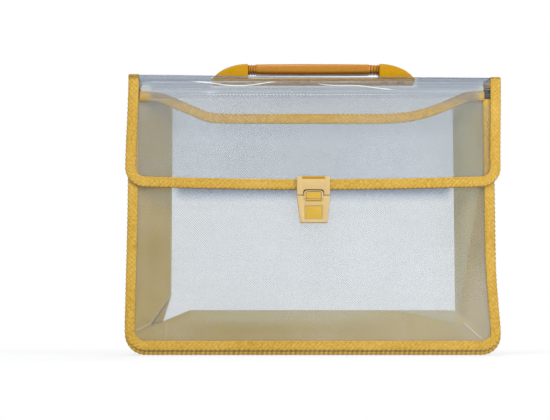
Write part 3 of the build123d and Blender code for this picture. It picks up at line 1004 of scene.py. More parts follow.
def fold_arc(y, bend, first, last):
    """Quarter turn of the lid's middle line over a fold at y."""
    return [
        (y + bend * math.cos(a), spine_middle - bend + bend * math.sin(a), math.cos(a), math.sin(a))
        for a in spaced(first, last, LID_STEP / bend)
    ]


def lid_line():
    """The lid's middle line from the back panel to the flap, in runs of (y, z, normal's y, normal's z)."""
    bend = back_middle - spine_high.y
    return {
        "rise": [(back_middle, z, 1, 0) for z in spaced(back_edge_high.z, spine_middle - bend, LID_STEP)],
        "back_arc": fold_arc(spine_high.y, bend, 0, math.pi / 2),
        "over": [(y, spine_middle, 0, 1) for y in spaced(spine_high.y, spine_low.y, 0.5 * MM)],
        "front_arc": fold_arc(spine_low.y, bend, math.pi / 2, math.pi),
        "fall": [(flap_middle, z, -1, 0) for z in spaced(strip_high.z, strip_low.z, 0.25 * MM)],
        "score": [(flap_middle, z, -1, 0) for z in spaced(strip_low.z, flap_high.z, 0.2 * MM)],
    }


# Drop below the spine of the two wavy lines that the folded lid leaves on its strip, painted white as
# highlights, against X, in millimetres
LEFT_WAVE = ((-125, 4.6), (-105, 5.8), (-90, 8.0), (-74, 8.7), (-58, 7.4), (-44, 5.3), (-34, 4.8))
RIGHT_WAVE = ((0, 5.4), (10, 7.6), (20, 8.4), (45, 8.7), (60, 10.7), (74, 12.3), (84, 12.8))


def thin_line(z, drop, width):
    """1 on a level line a drop below the spine, fading within a width."""
    return math.exp(-((z - spine_high.z + drop) / width) ** 2)


def strip_whitening_and_highlights(x, z):
    """How white the strip is: its wavy lines and straight lines, whitened and with painted highlights, a
    dashed line along the score, and a painted glint.
    """
    white = 0
    for line, strength in ((LEFT_WAVE, 1.0), (RIGHT_WAVE, 0.9)):
        first, last = line[0][0] * MM, line[-1][0] * MM
        within = ease(first, first + 14 * MM, x) * (1 - ease(last - 12 * MM, last, x))
        white += strength * within * thin_line(z, smooth_line(line, x / MM) * MM, 0.42 * MM)
    reach = ease(-176 * MM, -160 * MM, x) * (1 - ease(96 * MM, 106 * MM, x))
    white += (0.5 + 0.15 * math.sin(x / (17 * MM))) * reach * thin_line(z, 5.0 * MM, 0.32 * MM)
    dashes = 0.5 + 0.5 * math.sin(2 * math.pi * x / (3.4 * MM))
    reach = 1 - ease(60 * MM, 150 * MM, abs(x + 20 * MM))
    white += (0.12 + 0.75 * dashes * reach) * thin_line(z, 18.0 * MM, 0.42 * MM)
    for drop, strength in ((6.8, 0.2), (8.8, 0.16), (12.6, 0.2), (14.4, 0.12)):
        white += strength * thin_line(z, drop * MM, 0.3 * MM)
    glint = math.exp(-((x + 105 * MM) / (8 * MM)) ** 2) * thin_line(z, 15.6 * MM, 1.1 * MM)
    white += 0.8 * glint * (0.5 + 0.5 * math.sin(2 * math.pi * (x - z) / (2.6 * MM)))
    return min(1, white)


def strip_dense(x, z):
    """How dense the strip's haze is: most where it is folded, in level bands, and less before the handle."""
    bands = 0.14 * math.sin((z - strip_low.z) / (1.15 * MM)) + 0.1 * math.sin((z - strip_low.z) / (0.47 * MM))
    bands += 0.12 * math.exp(-((z - strip_low.z - 9 * MM) / (3.5 * MM)) ** 2)
    at_plate = (1 - ease(100 * MM, 106 * MM, abs(x))) * ease(267.5 * MM, 269.5 * MM, z)
    plain = 0.32 + 0.32 * ease(264 * MM, 277 * MM, z) + bands - clip_clear(x, z)
    return plain * (1 - at_plate) - 0.36 * at_plate


def lid_sheet(name, line, white=None, dense=None, step=2 * MM):
    """Clear sheet that follows part of the lid's line."""
    columns = spaced(-spine_high.x, spine_high.x, step)
    points = []
    whitening_and_highlights = []
    density_and_shade = []
    for y, z, _, _ in line:
        for x in columns:
            points.append(lid_pull((x, y, z)))
            whitening_and_highlights.append(white(x, z) if white else 0.0)
            density_and_shade.append(dense(x, z) if dense else 0.5)
    faces = grid_faces(len(line), len(columns))
    part = {"points": points, "faces": faces, "whitening_and_highlights": whitening_and_highlights, "density_and_shade": density_and_shade}
    piece = make_piece(name, "clear_sheet", part, closed=False)
    thicken(piece, 2 * sheet_half)
    return piece


def lid_sheets():
    """Spine and strip sheets and the creases that join them to the back and the flap."""
    line = lid_line()
    spine = lid_sheet("spine_sheet", line["over"], step=4 * MM)
    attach(spine, "spine")
    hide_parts("spine_panel")
    strip = lid_sheet("strip_sheet", line["fall"], strip_whitening_and_highlights, strip_dense, step=1 * MM)
    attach(strip, "strip")
    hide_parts("lid_strip")
    edge = [p for p in line["rise"] if p[1] >= back_high.z - NEAR]
    back = lid_sheet("back_crease", edge[-1:] + line["back_arc"][1:])
    front = lid_sheet("front_crease", line["front_arc"], dense=lambda x, z: 1.0)
    score = lid_sheet("score_crease", line["score"], lambda x, z: 0.1, strip_dense)
    bend_piece(back)
    bend_piece(front)
    bend_piece(score)


def bend_piece(piece):
    """Bakes a piece's place into its mesh."""
    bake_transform(piece)


def side_stations(line, side):
    """Tape stations along the lid's line at one side."""
    edge = side * lid_half_width
    stations = [(Vector((edge, y, z)), Vector((-side, 0, 0)), Vector((0, ny, nz))) for y, z, ny, nz in line]
    return pulled(stations, lid_pull)


def fold_shade(place, d):
    """Darker tape where it goes over the lid's front fold."""
    at_front = 1 - ease(-16.2 * MM, -10 * MM, place.y)
    return 0.45 * at_front * ease(spine_high.z - 3 * MM, spine_high.z - 0.5 * MM, place.z)


def side_tapes(name, line, width, half):
    """The left and right tapes along part of the lid's line."""
    parts = [
        sweep_tape(side_stations(line, side), width, half, ribbed=False, shade=fold_shade) for side in (-1, 1)
    ]
    return make_piece(name, "binding_tape", join_parts(parts))


def flap_shade(place, d):
    """Darker underside of the flap's lower edge."""
    lower = flap_edge_low.z + 1.5 * MM
    return 0.45 * (1 - ease(0.2 * MM, 1.1 * MM, d)) * (1 - ease(lower, lower + 14 * MM, place.z))


def flap_stitches(stations, width, half):
    """A row of stitches on each face of the flap's tape, left and right of the lock plate."""
    surface = half + 0.1 * MM
    gap = plate_high.x + 1.2 * MM
    rows = []
    for height in (surface, -surface):
        row = stitch_row(stations, width - STITCH_INSET, height)
        row = [p for p in row if p.z < flap_edge_high.z - 2 * MM]
        rows.append([p for p in row if p.x < -gap])
        rows.append([p for p in row if p.x > gap])
    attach(sew("flap_tape_stitches", rows), "flap")


def lid_tapes():
    """Tape over the flap's sides and bottom, the strip, the spine and the folds between them."""
    size = sizes()
    width = size.lid_tape_width
    half = sheet_half + size.tape_thickness
    path = cup_path(
        lid_half_width, flap_edge_high.z, flap_edge_low.z, size.lid_corner, STATION_STEP, sag=1.8 * MM
    )
    stations = pulled(stations_on(path, flap_middle, -1), lid_pull)
    part = sweep_tape(stations, width, half, 0.12 * MM, shade=flap_shade)
    flap = make_piece("flap_tape", "binding_tape", part)
    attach(flap, "flap")
    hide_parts("lid_binding")
    flap_stitches(stations, width, half)

    line = lid_line()
    back_end = (spine_tape_high.y, spine_middle, 0, 1)
    front_end = (spine_tape_low.y, spine_middle, 0, 1)
    over = [p for p in line["over"] if front_end[0] - NEAR <= p[0] <= back_end[0] + NEAR]
    over = [back_end] + over[1:-1] + [front_end]
    spine = side_tapes("spine_tapes", over, width, half)
    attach(spine, "spine")
    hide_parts("spine_binding")
    fall_start = (flap_middle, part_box("lid_strip_binding")[1].z, -1, 0)
    fall = [fall_start] + [p for p in line["fall"] if p[1] <= fall_start[1]]
    strip = side_tapes("strip_tapes", fall, width, half)
    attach(strip, "strip")
    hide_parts("lid_strip_binding")
    back_bend = line["rise"] + line["back_arc"][1:] + [back_end]
    front_bend = [front_end] + line["front_arc"] + [fall_start]
    bend_piece(side_tapes("back_bend_tapes", back_bend, width, half))
    bend_piece(side_tapes("front_bend_tapes", front_bend, width, half))
    bend_piece(side_tapes("score_bend_tapes", line["score"], width, half))


# Gusset film


FILM_BACK = back_edge_low.y - 0.25 * MM
FILM_FRONT = front_edge_high.y + 0.25 * MM
FOLD_DEPTH = (FILM_BACK + FILM_FRONT) / 2
SEAM_INSET = 10.4 * MM
MARGIN_INSET = 4 * MM
FOLD_X = 143.34 * MM
FOLD_Z = 44.66 * MM
REAR_STEPS = 12
FRONT_STEPS = 44

# Place across the gusset that stands for the margin under the tape, outside the leaves' -1 to 1
MARGIN_PLACE = 1.25

# Where the fold line bends at the left corner, the pleat's foot, and the creases
LEFT_BEND = (-FOLD_X, 59.5 * MM)
LEFT_TIP = (-151.2 * MM, 33.6 * MM)
LEFT_RISE = (-124.4 * MM, FOLD_Z)
PLEAT_FOOT = (-162.5 * MM, 31 * MM)
LEFT_SEAM = (-178.5 * MM, 23.5 * MM)
RIGHT_CREASE = (151 * MM, 32 * MM)
RIGHT_SEAM = (168.6 * MM, 16 * MM)
VEIL_START = (79.9 * MM, FOLD_Z)
VEIL_END = (FOLD_X, 31 * MM)


def film_stations():
    """Stations round the gusset: margin, seam and fold points in X and Z."""
    corner = sizes().bag_corner
    top = hem_high.z - 0.3 * MM
    flat = half_width - corner
    low = LEFT_BEND[1]
    stations = []
    for z in spaced(top, low, 4 * MM)[:-1]:
        stations.append(side_station(-1, z, (-FOLD_X, z)))
    for z in spaced(low, corner, 0.7 * MM):
        stations.append(side_station(-1, z, blend_points(LEFT_BEND, LEFT_TIP, (low - z) / (low - corner))))
    for angle in spaced(0, math.pi / 2, 0.05)[1:]:
        stations.append(corner_station(-1, angle, LEFT_TIP))
    rise = LEFT_RISE[0]
    for x in spaced(-flat, rise, 0.7 * MM)[1:]:
        fold = blend_points(LEFT_TIP, LEFT_RISE, (x + flat) / (rise + flat))
        stations.append(((x, MARGIN_INSET), (x, SEAM_INSET), fold))
    for x in spaced(rise, VEIL_START[0], 3 * MM)[1:] + spaced(VEIL_START[0], flat, 1 * MM)[1:]:
        stations.append(((x, MARGIN_INSET), (x, SEAM_INSET), (min(x, FOLD_X), FOLD_Z)))
    for angle in spaced(math.pi / 2, 0, 0.05)[1:]:
        stations.append(corner_station(1, angle, (FOLD_X, FOLD_Z)))
    for z in spaced(corner, FOLD_Z, 1 * MM)[1:] + spaced(FOLD_Z, top, 4 * MM)[1:]:
        stations.append(side_station(1, z, (FOLD_X, max(z, FOLD_Z))))
    return stations


def side_station(side, z, fold):
    """Station on an upright side."""
    return ((side * (half_width - MARGIN_INSET), z), (side * (half_width - SEAM_INSET), z), fold)


def corner_station(side, angle, tip):
    """Station on a rounded corner, where the fold line stays at its tip."""
    corner = sizes().bag_corner
    centre = (side * (half_width - corner), corner)
    ring = []
    for inset_by in (MARGIN_INSET, SEAM_INSET):
        radius = corner - inset_by
        ring.append((centre[0] + side * radius * math.cos(angle), centre[1] - radius * math.sin(angle)))
    return (ring[0], ring[1], tip)


def from_line(x, z, start, end):
    """Distance to the right of a line, and the place along it from 0 to 1."""
    dx = end[0] - start[0]
    dz = end[1] - start[1]
    run = math.hypot(dx, dz)
    along = ((x - start[0]) * dx + (z - start[1]) * dz) / run**2
    across = ((x - start[0]) * dz - (z - start[1]) * dx) / run
    return across, along


def ridge(x, z, start, end, width, offset=0.0):
    """Height of a ridge along a line, from 0 to 1, moved by an offset to its right."""
    across, along = from_line(x, z, start, end)
    ends = ease(-0.05, 0.08, along) * (1 - ease(0.92, 1.05, along))
    return math.exp(-((across - offset) / width) ** 2) * ends


def film_relief(x, z):
    """Outward relief of the front leaf, and its weights of whitened film with painted highlights, doubled
    film with painted shade, and thin film with painted light.
    """
    across, along = from_line(x, z, LEFT_BEND, PLEAT_FOOT)
    ends = ease(-0.02, 0.2, along) * (1 - ease(0.9, 1.12, along))
    pleat = ease(-0.5 * MM, 0.5 * MM, across) * math.exp(-max(0, across) / (9 * MM)) * ends
    left = ridge(x, z, LEFT_SEAM, PLEAT_FOOT, 0.8 * MM)
    right = ridge(x, z, RIGHT_CREASE, RIGHT_SEAM, 0.8 * MM)
    short = ridge(x, z, (-149 * MM, 34 * MM), (-148 * MM, 15 * MM), 1.2 * MM)
    relief = 2.4 * MM * pleat + 0.8 * MM * left + 0.8 * MM * right + 0.4 * MM * short
    # Light lines: whitened ridges, and painted highlights beside the pleat's edge and along the strip's edge.
    edge = ridge(x, z, LEFT_BEND, PLEAT_FOOT, 0.6 * MM, 0.7 * MM)
    strip_edge = ridge(x, z, LEFT_BEND, LEFT_TIP, 0.7 * MM, -0.8 * MM)
    white = 0.7 * left + 0.9 * right + 0.25 * short + 0.55 * edge + 0.5 * strip_edge
    # Dark lines: doubled film at the pleat, with painted shadow under the pleat's edge, in the wedge at its
    # foot and beside the right crease.
    gap = ridge(x, z, LEFT_BEND, PLEAT_FOOT, 0.75 * MM, -0.6 * MM) * (0.35 + 0.65 * min(1, max(0, along)))
    wedge = ridge(x, z, PLEAT_FOOT, LEFT_TIP, 1.1 * MM)
    beside = ridge(x, z, RIGHT_CREASE, RIGHT_SEAM, 0.7 * MM, 1.5 * MM)
    density_and_shade = gap + 0.75 * wedge + 0.45 * beside + 0.3 * ridge(x, z, VEIL_START, VEIL_END, 0.7 * MM)
    above, place = from_line(x, z, VEIL_START, VEIL_END)
    veil = ease(-0.4 * MM, 0.4 * MM, -above) * ease(0, 0.15, place) * (1 - ease(0.97, 1.02, place))
    # Painted light: the film is painted paler in its bottom middle.
    middle = ease(20 * MM, 46 * MM, z) * (1 - ease(50 * MM, 130 * MM, abs(x + 25 * MM)))
    density_and_shade += 0.13 * ease(100 * MM, 140 * MM, x)
    return relief, min(1, white), min(1, density_and_shade), min(1, 0.75 * veil + 0.8 * middle)


def leaf_depth(place):
    """Depth across the gusset, from -1 at the back to 1 at the front, with a slight curve in each leaf."""
    return place + 0.06 * math.sin(math.pi * place * 2)


def gusset_film():
    """The folded film round the sides and bottom, in one piece, and the tape over its top ends."""
    rear = [(-1 + i / REAR_STEPS, i / REAR_STEPS) for i in range(REAR_STEPS)]
    front = [(i / FRONT_STEPS, 1 - i / FRONT_STEPS) for i in range(FRONT_STEPS + 1)]
    across = [(-MARGIN_PLACE, 0.0)] + rear + front + [(MARGIN_PLACE, 0.0)]
    half_depth = (FILM_BACK - FILM_FRONT) / 2
    points = []
    weights = {"whitening_and_highlights": [], "density_and_shade": [], "thin": []}
    for margin, seam, fold in film_stations():
        for place, share in across:
            if abs(place) > 1:
                x, z = margin
                depth = math.copysign(1, place)
            else:
                x, z = blend_points(seam, fold, share)
                depth = leaf_depth(place)
            relief, white, density_and_shade, thin = film_relief(x, z) if 0 < place < 1 else (0, 0, 0, 0)
            sway = 0.35 * MM * math.sin(x / (21 * MM)) * math.sin(z / (17 * MM) + 0.7)
            sway *= math.sin(math.pi * share)
            pull = front_pull(x, z) * min(1, max(0, place))
            points.append((x + pull, FOLD_DEPTH - depth * half_depth - relief + sway, z))
            weights["whitening_and_highlights"].append(min(1, white + 0.6 * math.exp(-(place / 0.03) ** 2)))
            weights["density_and_shade"].append(density_and_shade)
            weights["thin"].append(thin)
    part = {"points": points, "faces": grid_faces(len(points) // len(across), len(across)), **weights}
    film = make_piece("gusset_film", "gusset_film", part, closed=False)
    thicken(film, sizes().film_thickness)
    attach(film, "back")
    leaves = ("left_rear", "left_front", "right_rear", "right_front", "bottom_rear", "bottom_front")
    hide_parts(*["gusset_" + leaf for leaf in leaves])
    squash_film(film)
    hems = gusset_hems(across[1:-1], half_depth)
    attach(hems, "back")
    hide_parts(*["gusset_" + leaf + "_hem" for leaf in leaves[:4]])
    squash_film(hems)


def squash_film(piece):
    """Gives a piece of the gusset its own copy of its mesh."""
    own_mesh(piece)


def gusset_hems(across, half_depth):
    """Tape folded over the top end of each side gusset."""
    top = hem_high.z
    width = hem_high.z - hem_low.z
    seam = half_width - SEAM_INSET
    parts = []
    for side in (-1, 1):
        line = []
        for place, share in across:
            x = side * (seam + (FOLD_X - seam) * share)
            x += front_pull(x, top) * min(1, max(0, place))
            line.append(Vector((x, FOLD_DEPTH - leaf_depth(place) * half_depth, top)))
        stations = []
        for number, point in enumerate(line):
            ahead = line[min(number + 1, len(line) - 1)] - line[max(number - 1, 0)]
            face = Vector((ahead.y, -ahead.x, 0)).normalized()
            stations.append((point, Vector((0, 0, -1)), face))
        parts.append(sweep_tape(stations, width, 0.45 * MM, ribbed=False))
    return make_piece("gusset_top_tapes", "binding_tape", join_parts(parts))


# Handle


def rounded_outline(half_y, half_z, power, count):
    """Rounded rectangle as a superellipse."""
    outline = []
    for i in range(count):
        a = 2 * math.pi * i / count
        c = math.cos(a)
        s = math.sin(a)
        outline.append((
            half_y * math.copysign(abs(c) ** (2 / power), c), half_z * math.copysign(abs(s) ** (2 / power), s)
        ))
    return outline


def loft(stations, count=40):
    """Closed solid through sections of (x, half depth, half height, squareness) on the grip's axis."""
    return skin([
        [(x, handle_middle + y, grip_middle + z) for y, z in rounded_outline(half_y, half_z, power, count)]
        for x, half_y, half_z, power in stations
    ])


def grip_stations():
    """Sections of the grip: full in its middle, a little slimmer and rounded at its ends."""
    half = grip_high.x
    half_y = (grip_high.y - grip_low.y) / 2
    half_z = (grip_high.z - grip_low.z) / 2
    stations = []
    for x in [-half] + [-half * math.cos(math.radians(a)) for a in range(6, 175, 6)] + [half]:
        near_end = 1 - ease(0, 1.2 * MM, half - abs(x))
        swell = 1 - (x / half) ** 2
        deep = half_y * (0.97 + 0.03 * swell - 0.07 * near_end)
        high = half_z * (1.03 + 0.08 * swell - 0.1 * near_end)
        stations.append((x, deep, high, 3.8))
    return stations


# Half of a rib's length and how far it has dropped there, each as a share
RIB_PROFILE = ((-1, 1.1), (-0.75, 0.35), (-0.4, 0.05), (0, 0), (0.4, 0.05), (0.75, 0.35), (1, 1.1))
NECK_POINTS = 32


def neck(side, name, outer):
    """Ribbed neck between the grip and a bracket, with its place baked into its mesh; nothing here bends it
    as the grip lifts.
    """
    count = sizes().neck_ribs
    inner = grip_high.x - 1 * MM
    half_y = (neck_high.y - neck_low.y) / 2
    half_z = (neck_high.z - neck_low.z) / 2
    core = [(side * x, half_y - 1.3 * MM, half_z - 0.9 * MM, 4) for x in spaced(inner, outer, 0.6 * MM)]
    core += [(side * outer, 7.4 * MM, 2.2 * MM, 4), (side * neck_high.x, 7.4 * MM, 2.2 * MM, 4)]
    pitch = (outer - grip_high.x) / count
    first = side * (grip_high.x + pitch / 2)
    rib = []
    for offset, drop in RIB_PROFILE:
        along = first + side * pitch * 0.46 * offset
        rib.append((along, half_y - 1.3 * MM * drop, half_z + 0.1 * MM - 1.1 * MM * drop, 3.4))
    rib = loft(rib, NECK_POINTS)
    values = {"Count": count, "Offset": (side * pitch, 0, 0), "Material": materials["grip_plastic"]}
    ribs = run_tree("ribs_" + name, rib_tree(), rib["points"], [], rib["faces"], values)
    rib_part = {
        "points": [tuple(v.co) for v in ribs.data.vertices],
        "faces": [tuple(p.vertices) for p in ribs.data.polygons],
    }
    piece = make_piece("neck_" + name, "grip_plastic", join_parts([loft(core, NECK_POINTS), rib_part]))
    bpy.data.objects.remove(ribs)
    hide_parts("handle_neck_" + name)
    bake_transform(piece)


BRACKET_RISE = 15.2 * MM


def bracket(side, name, inner, outer):
    """Bracket: a fairing that rises from the spine in a full curve to the grip's neck."""
    foot = bracket_low.z
    half_y = (bracket_high.y - bracket_low.y) / 2
    run = outer - inner
    sections = []
    shades = []
    for i in range(-1, 31):
        dx = run * math.sin(max(0, i) / 30 * math.pi / 2) * 0.999
        bevel = 0.45 * MM if i == -1 else 0
        height = BRACKET_RISE * (1 - (dx / run) ** 2) ** 0.7 + 0.15 * MM - bevel
        half = half_y * (1 - 0.1 * (dx / run) ** 3) - bevel
        radius = min(1.9 * MM, height * 0.6)
        x = side * (inner + (0 if i < 0 else 0.45 * MM if i == 0 else max(dx, 0.5 * MM)))
        turns = spaced(0, math.pi / 2, 0.26)
        arc = [(half - radius + radius * math.cos(a), height - radius + radius * math.sin(a)) for a in turns]
        profile = [(half, 0), (half, height * 0.3)] + arc + [(half * 0.5, height + 0.12 * MM)]
        # Painted shade along the rounded top edges and on the top.
        shade = [0.0, 0.0] + [0.55 * math.sin(a) ** 3 for a in turns] + [0.35]
        profile += [(-y, z) for y, z in reversed(profile)]
        shades += shade + shade[::-1]
        sections.append([(x, handle_middle + y, foot + z) for y, z in profile])
    part = skin(sections)
    part["shade"] = shades
    piece = make_piece("bracket_" + name, "handle_plastic", part, sharp=50)
    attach(piece, "spine")
    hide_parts("handle_bracket_" + name)


def handle():
    """Grip, necks and brackets, and the finish of the base and rivets."""
    finish_node("handle_base", "handle_plastic")
    finish_node("handle_rivets", "handle_plastic")
    grip = make_piece("grip_moulding", "grip_plastic", loft(grip_stations()))
    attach(grip, "grip")
    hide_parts("handle_grip")
    for side, name, shift in ((-1, "left", 0), (1, "right", 1.5 * MM)):
        bracket(side, name, bracket_low.x + shift, bracket_high.x + 0.2 * MM + shift)
        neck(side, name, bracket_low.x + shift)


# Lock and clips


def rounded(corners, distance=0.0, steps=5):
    """Outline with rounded corners, anticlockwise, moved inwards, from (x, z, radius) in millimetres."""
    flat = [Vector(corner[:2]) * MM for corner in corners]
    moved = []
    bends = []
    for number, here in enumerate(flat):
        back = (here - flat[number - 1]).normalized()
        ahead = (flat[(number + 1) % len(flat)] - here).normalized()
        normal = Vector((-(back.y + ahead.y), back.x + ahead.x)).normalized()
        moved.append(here + normal * (distance / normal.dot(Vector((-back.y, back.x)))))
        bends.append(back.cross(ahead))
    points = []
    for number, here in enumerate(moved):
        back = (moved[number - 1] - here).normalized()
        ahead = (moved[(number + 1) % len(moved)] - here).normalized()
        radius = corners[number][2] * MM
        radius = max(0.12 * MM, radius - distance) if bends[number] > 0 else radius + distance
        half_turn = back.angle(ahead) / 2
        reach = radius / math.tan(half_turn)
        centre = here + (back + ahead).normalized() * (radius / math.sin(half_turn))
        a = here + back * reach - centre
        b = here + ahead * reach - centre
        sweep = a.angle(b)
        for i in range(steps + 1):
            t = i / steps
            spoke = a * math.sin((1 - t) * sweep) + b * math.sin(t * sweep)
            points.append(centre + spoke / math.sin(sweep))
    return points


def stack(layers, ends=True):
    """Shell through layers of (corners, distance inwards, depth, painted shade)."""
    part = skin([[(p.x, depth, p.y) for p in rounded(corners, by)] for corners, by, depth, _ in layers], ends)
    count = len(part["points"]) // len(layers)
    part["shade"] = [layer[3] for layer in layers for _ in range(count)]
    return part


def plate(corners, back, front, edge, dark=0.0, by=0.0):
    """Layers of a plate with a rounded front edge, with painted shade on its sides."""
    return [
        (corners, by, back, dark), (corners, by, front + edge, dark),
        (corners, by + edge * 0.3, front + edge * 0.3, dark / 2), (corners, by + edge, front, 0.0),
    ]


def carve(piece, cutters):
    """Cuts solids out of a piece."""
    for number, cutter in enumerate(cutters):
        modifier = piece.modifiers.new("Cut %d" % number, "BOOLEAN")
        modifier.operation = "DIFFERENCE"
        modifier.solver = "EXACT"
        modifier.object = cutter
    shown = piece.evaluated_get(bpy.context.evaluated_depsgraph_get())
    mesh = bpy.data.meshes.new_from_object(shown)
    piece.modifiers.clear()
    piece.data = mesh
    for cutter in cutters:
        bpy.data.objects.remove(cutter)
    mesh.polygons.foreach_set("use_smooth", [True] * len(mesh.polygons))
    mesh.set_sharp_from_angle(angle=math.radians(35))


def lock_piece(name, slot, layers, body, node=None, ends=True):
    """Moulded piece of the lock that rides on a body."""
    piece = make_piece(name, slot, stack(layers, ends), sharp=35)
    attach(piece, body)
    if node:
        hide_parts(node)
    return piece


def corner_clip(inner, outer):
    """Folded steel clip over the end of the mouth's tape."""
    wall = 0.5 * MM
    front = clip_low.y
    back = clip_high.y
    sections = []
    for x, drop in (
        (inner, 0.5), (inner + 0.15 * MM, 0.2), (inner + 0.5 * MM, 0), (outer - 0.5 * MM, 0),
        (outer - 0.15 * MM, 0.2), (outer, 0.5),
    ):
        low = clip_low.z + drop * MM
        high = clip_high.z - drop * MM
        profile = [
            (front, low), (front, high - 0.9 * MM), (front + 0.35 * MM, high - 0.3 * MM),
            (front + 0.9 * MM, high), (back - 0.9 * MM, high), (back - 0.35 * MM, high - 0.3 * MM),
            (back, high - 0.9 * MM), (back, low), (back - wall, low), (back - wall, high - wall),
            (front + wall, high - wall), (front + wall, low),
        ]
        sections.append([(x, y, z) for y, z in profile])
    return skin(sections)


def corner_clips():
    """Left and right clips at the front panel's top corners."""
    clips = join_parts([corner_clip(-182.5 * MM, -175 * MM), corner_clip(172.8 * MM, 181 * MM)])
    clips = make_piece("corner_clips_folded", "dark_steel", clips, sharp=35)
    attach(clips, "front")
    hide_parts("corner_clips")


def button_spring():
    """Coil spring behind the button, made at one length; nothing here closes it up as the button is pressed.
    """
    low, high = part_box("lock_spring")
    wire = 0.35 * MM
    radius = high.x - wire
    middle = (low.z + high.z) / 2
    depth = high.y - low.y
    turns = 3
    steps = 24
    sides = 8
    sections = []
    for i in range(steps * turns + 1):
        angle = 2 * math.pi * i / steps
        along = low.y + wire + (depth - 2 * wire) * i / (steps * turns)
        ring = []
        for k in range(sides):
            a = 2 * math.pi * k / sides
            reach = radius + wire * math.cos(a)
            y = along + wire * math.sin(a)
            ring.append((reach * math.cos(angle), y, middle + reach * math.sin(angle)))
        sections.append(ring)
    piece = make_piece("button_spring", "dark_steel", skin(sections))
    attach(piece, "front")
    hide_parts("lock_spring")
    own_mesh(piece)


def upright_box(half, low, high, low_radius, high_radius):
    """Corners of a rectangle round the bag's middle plane, in millimetres, with two radii."""
    return [
        (-half, low, low_radius), (half, low, low_radius),
        (half, high, high_radius), (-half, high, high_radius),
    ]


# Outlines of the lock's openings and plates: X, Z and the corner's radius in millimetres
SOCKET = upright_box(7.8, 154.6, 162.4, 0.6, 1.4)
FRAME = upright_box(9.95, 153.9, 163.7, 0.8, 3.2)
BUTTON = upright_box(7.4, 155.0, 162.0, 0.7, 1.1)
SLOT = upright_box(11.4, 175.1, 177.9, 0.4, 0.5)
SILL = upright_box(8.5, 152.5, 153.7, 0.3, 0.3)
RECESS = [(-9.6, 134.0, 0.9), (9.2, 134.0, 0.9), (9.5, 149.1, 0.9), (-9.9, 149.1, 0.9)]
BODY = [(-13.3, 131.4, 1.1), (13.7, 131.4, 1.1), (16.6, 158.4, 0.6), (-16.8, 158.4, 0.6)]
FLAP_PLATE = [
    (-16.8, 159.1, 0.6), (-10.3, 159.1, 0.4), (-10.3, 164.5, 2.8), (10.3, 164.5, 2.8), (10.3, 159.1, 0.4),
    (16.5, 159.1, 0.6), (16.5, 178.1, 1.8), (11.2, 178.1, 0.3), (11.2, 175.3, 0.4), (-11.2, 175.3, 0.4),
    (-11.2, 178.1, 0.3), (-16.8, 178.1, 1.8),
]
CATCH = [
    (-11.6, 158.8, 0.3), (-8.4, 158.8, 0.3), (-8.4, 162.6, 0.3), (8.4, 162.6, 0.3), (8.4, 158.8, 0.3),
    (11.6, 158.8, 0.3), (11.6, 165.2, 1), (-11.6, 165.2, 1),
]
LOCK_EDGE = 0.5 * MM


def flap_plate(face):
    """Lock plate on the flap, with an inlay in its slot."""
    layers = plate(FLAP_PLATE, flap_edge_low.y - 0.05 * MM, face, LOCK_EDGE, 0.7)
    lock_piece("lock_plate_moulding", "lock_plastic", layers, "flap", "lock_flap_plate")
    layers = plate(SLOT, flap_edge_low.y, face + 0.7 * MM, 0.3 * MM, 0.4)
    lock_piece("lock_slot_inlay", "handle_plastic", layers, "flap")


def lock_body(face):
    """Body of the lock, with a socket for the button and a recess with its inlay."""
    layers = plate(BODY, front_low.y, face, LOCK_EDGE, 0.7)
    body = lock_piece("lock_body_moulding", "lock_plastic", layers, "front", "lock_body")
    through = stack([(SOCKET, 0, -10 * MM, 0.0), (SOCKET, 0, -30 * MM, 0.0)])
    hollow = stack([(RECESS, 1.4 * MM, face + 0.8 * MM, 0.1), (RECESS, 0, face - 0.05 * MM, 0.1)])
    socket = make_piece("socket_cutter", "lock_plastic", through)
    recess = make_piece("recess_cutter", "lock_plastic", hollow)
    carve(body, [socket, recess])
    layers = plate(RECESS, face + 1.2 * MM, face + 0.68 * MM, 0.1 * MM, by=1.3 * MM)
    lock_piece("lock_panel_inlay", "button_plastic", layers, "front")


def lock_frame(face):
    """Frame round the button: a ring whose rim slants outwards."""
    rim = body_low.y
    behind = front_low.y - 2 * MM
    layers = [
        (FRAME, 0, behind, 0.9), (FRAME, 0, face + 0.2 * MM, 0.8), (FRAME, 0.15 * MM, face - 0.1 * MM, 0.2),
        (FRAME, 1.0 * MM, rim, 0.0), (SOCKET, -0.35 * MM, rim, 0.0), (SOCKET, 0, rim + 0.35 * MM, 0.3),
        (SOCKET, 0, behind, 0.9),
    ]
    lock_piece("lock_frame_moulding", "lock_plastic", layers, "front", ends=False)


def push_button():
    """Button with a rounded edge and a slightly raised middle."""
    layers = [
        (BUTTON, 0, button_face + 2.2 * MM, 0.8), (BUTTON, 0, button_face + 0.4 * MM, 0.6),
        (BUTTON, 0.15 * MM, button_face + 0.12 * MM, 0.2), (BUTTON, 0.45 * MM, button_face, 0.0),
        (BUTTON, 1.6 * MM, button_face - 0.1 * MM, 0.0),
    ]
    lock_piece("button_moulding", "button_plastic", layers, "button", "lock_button")


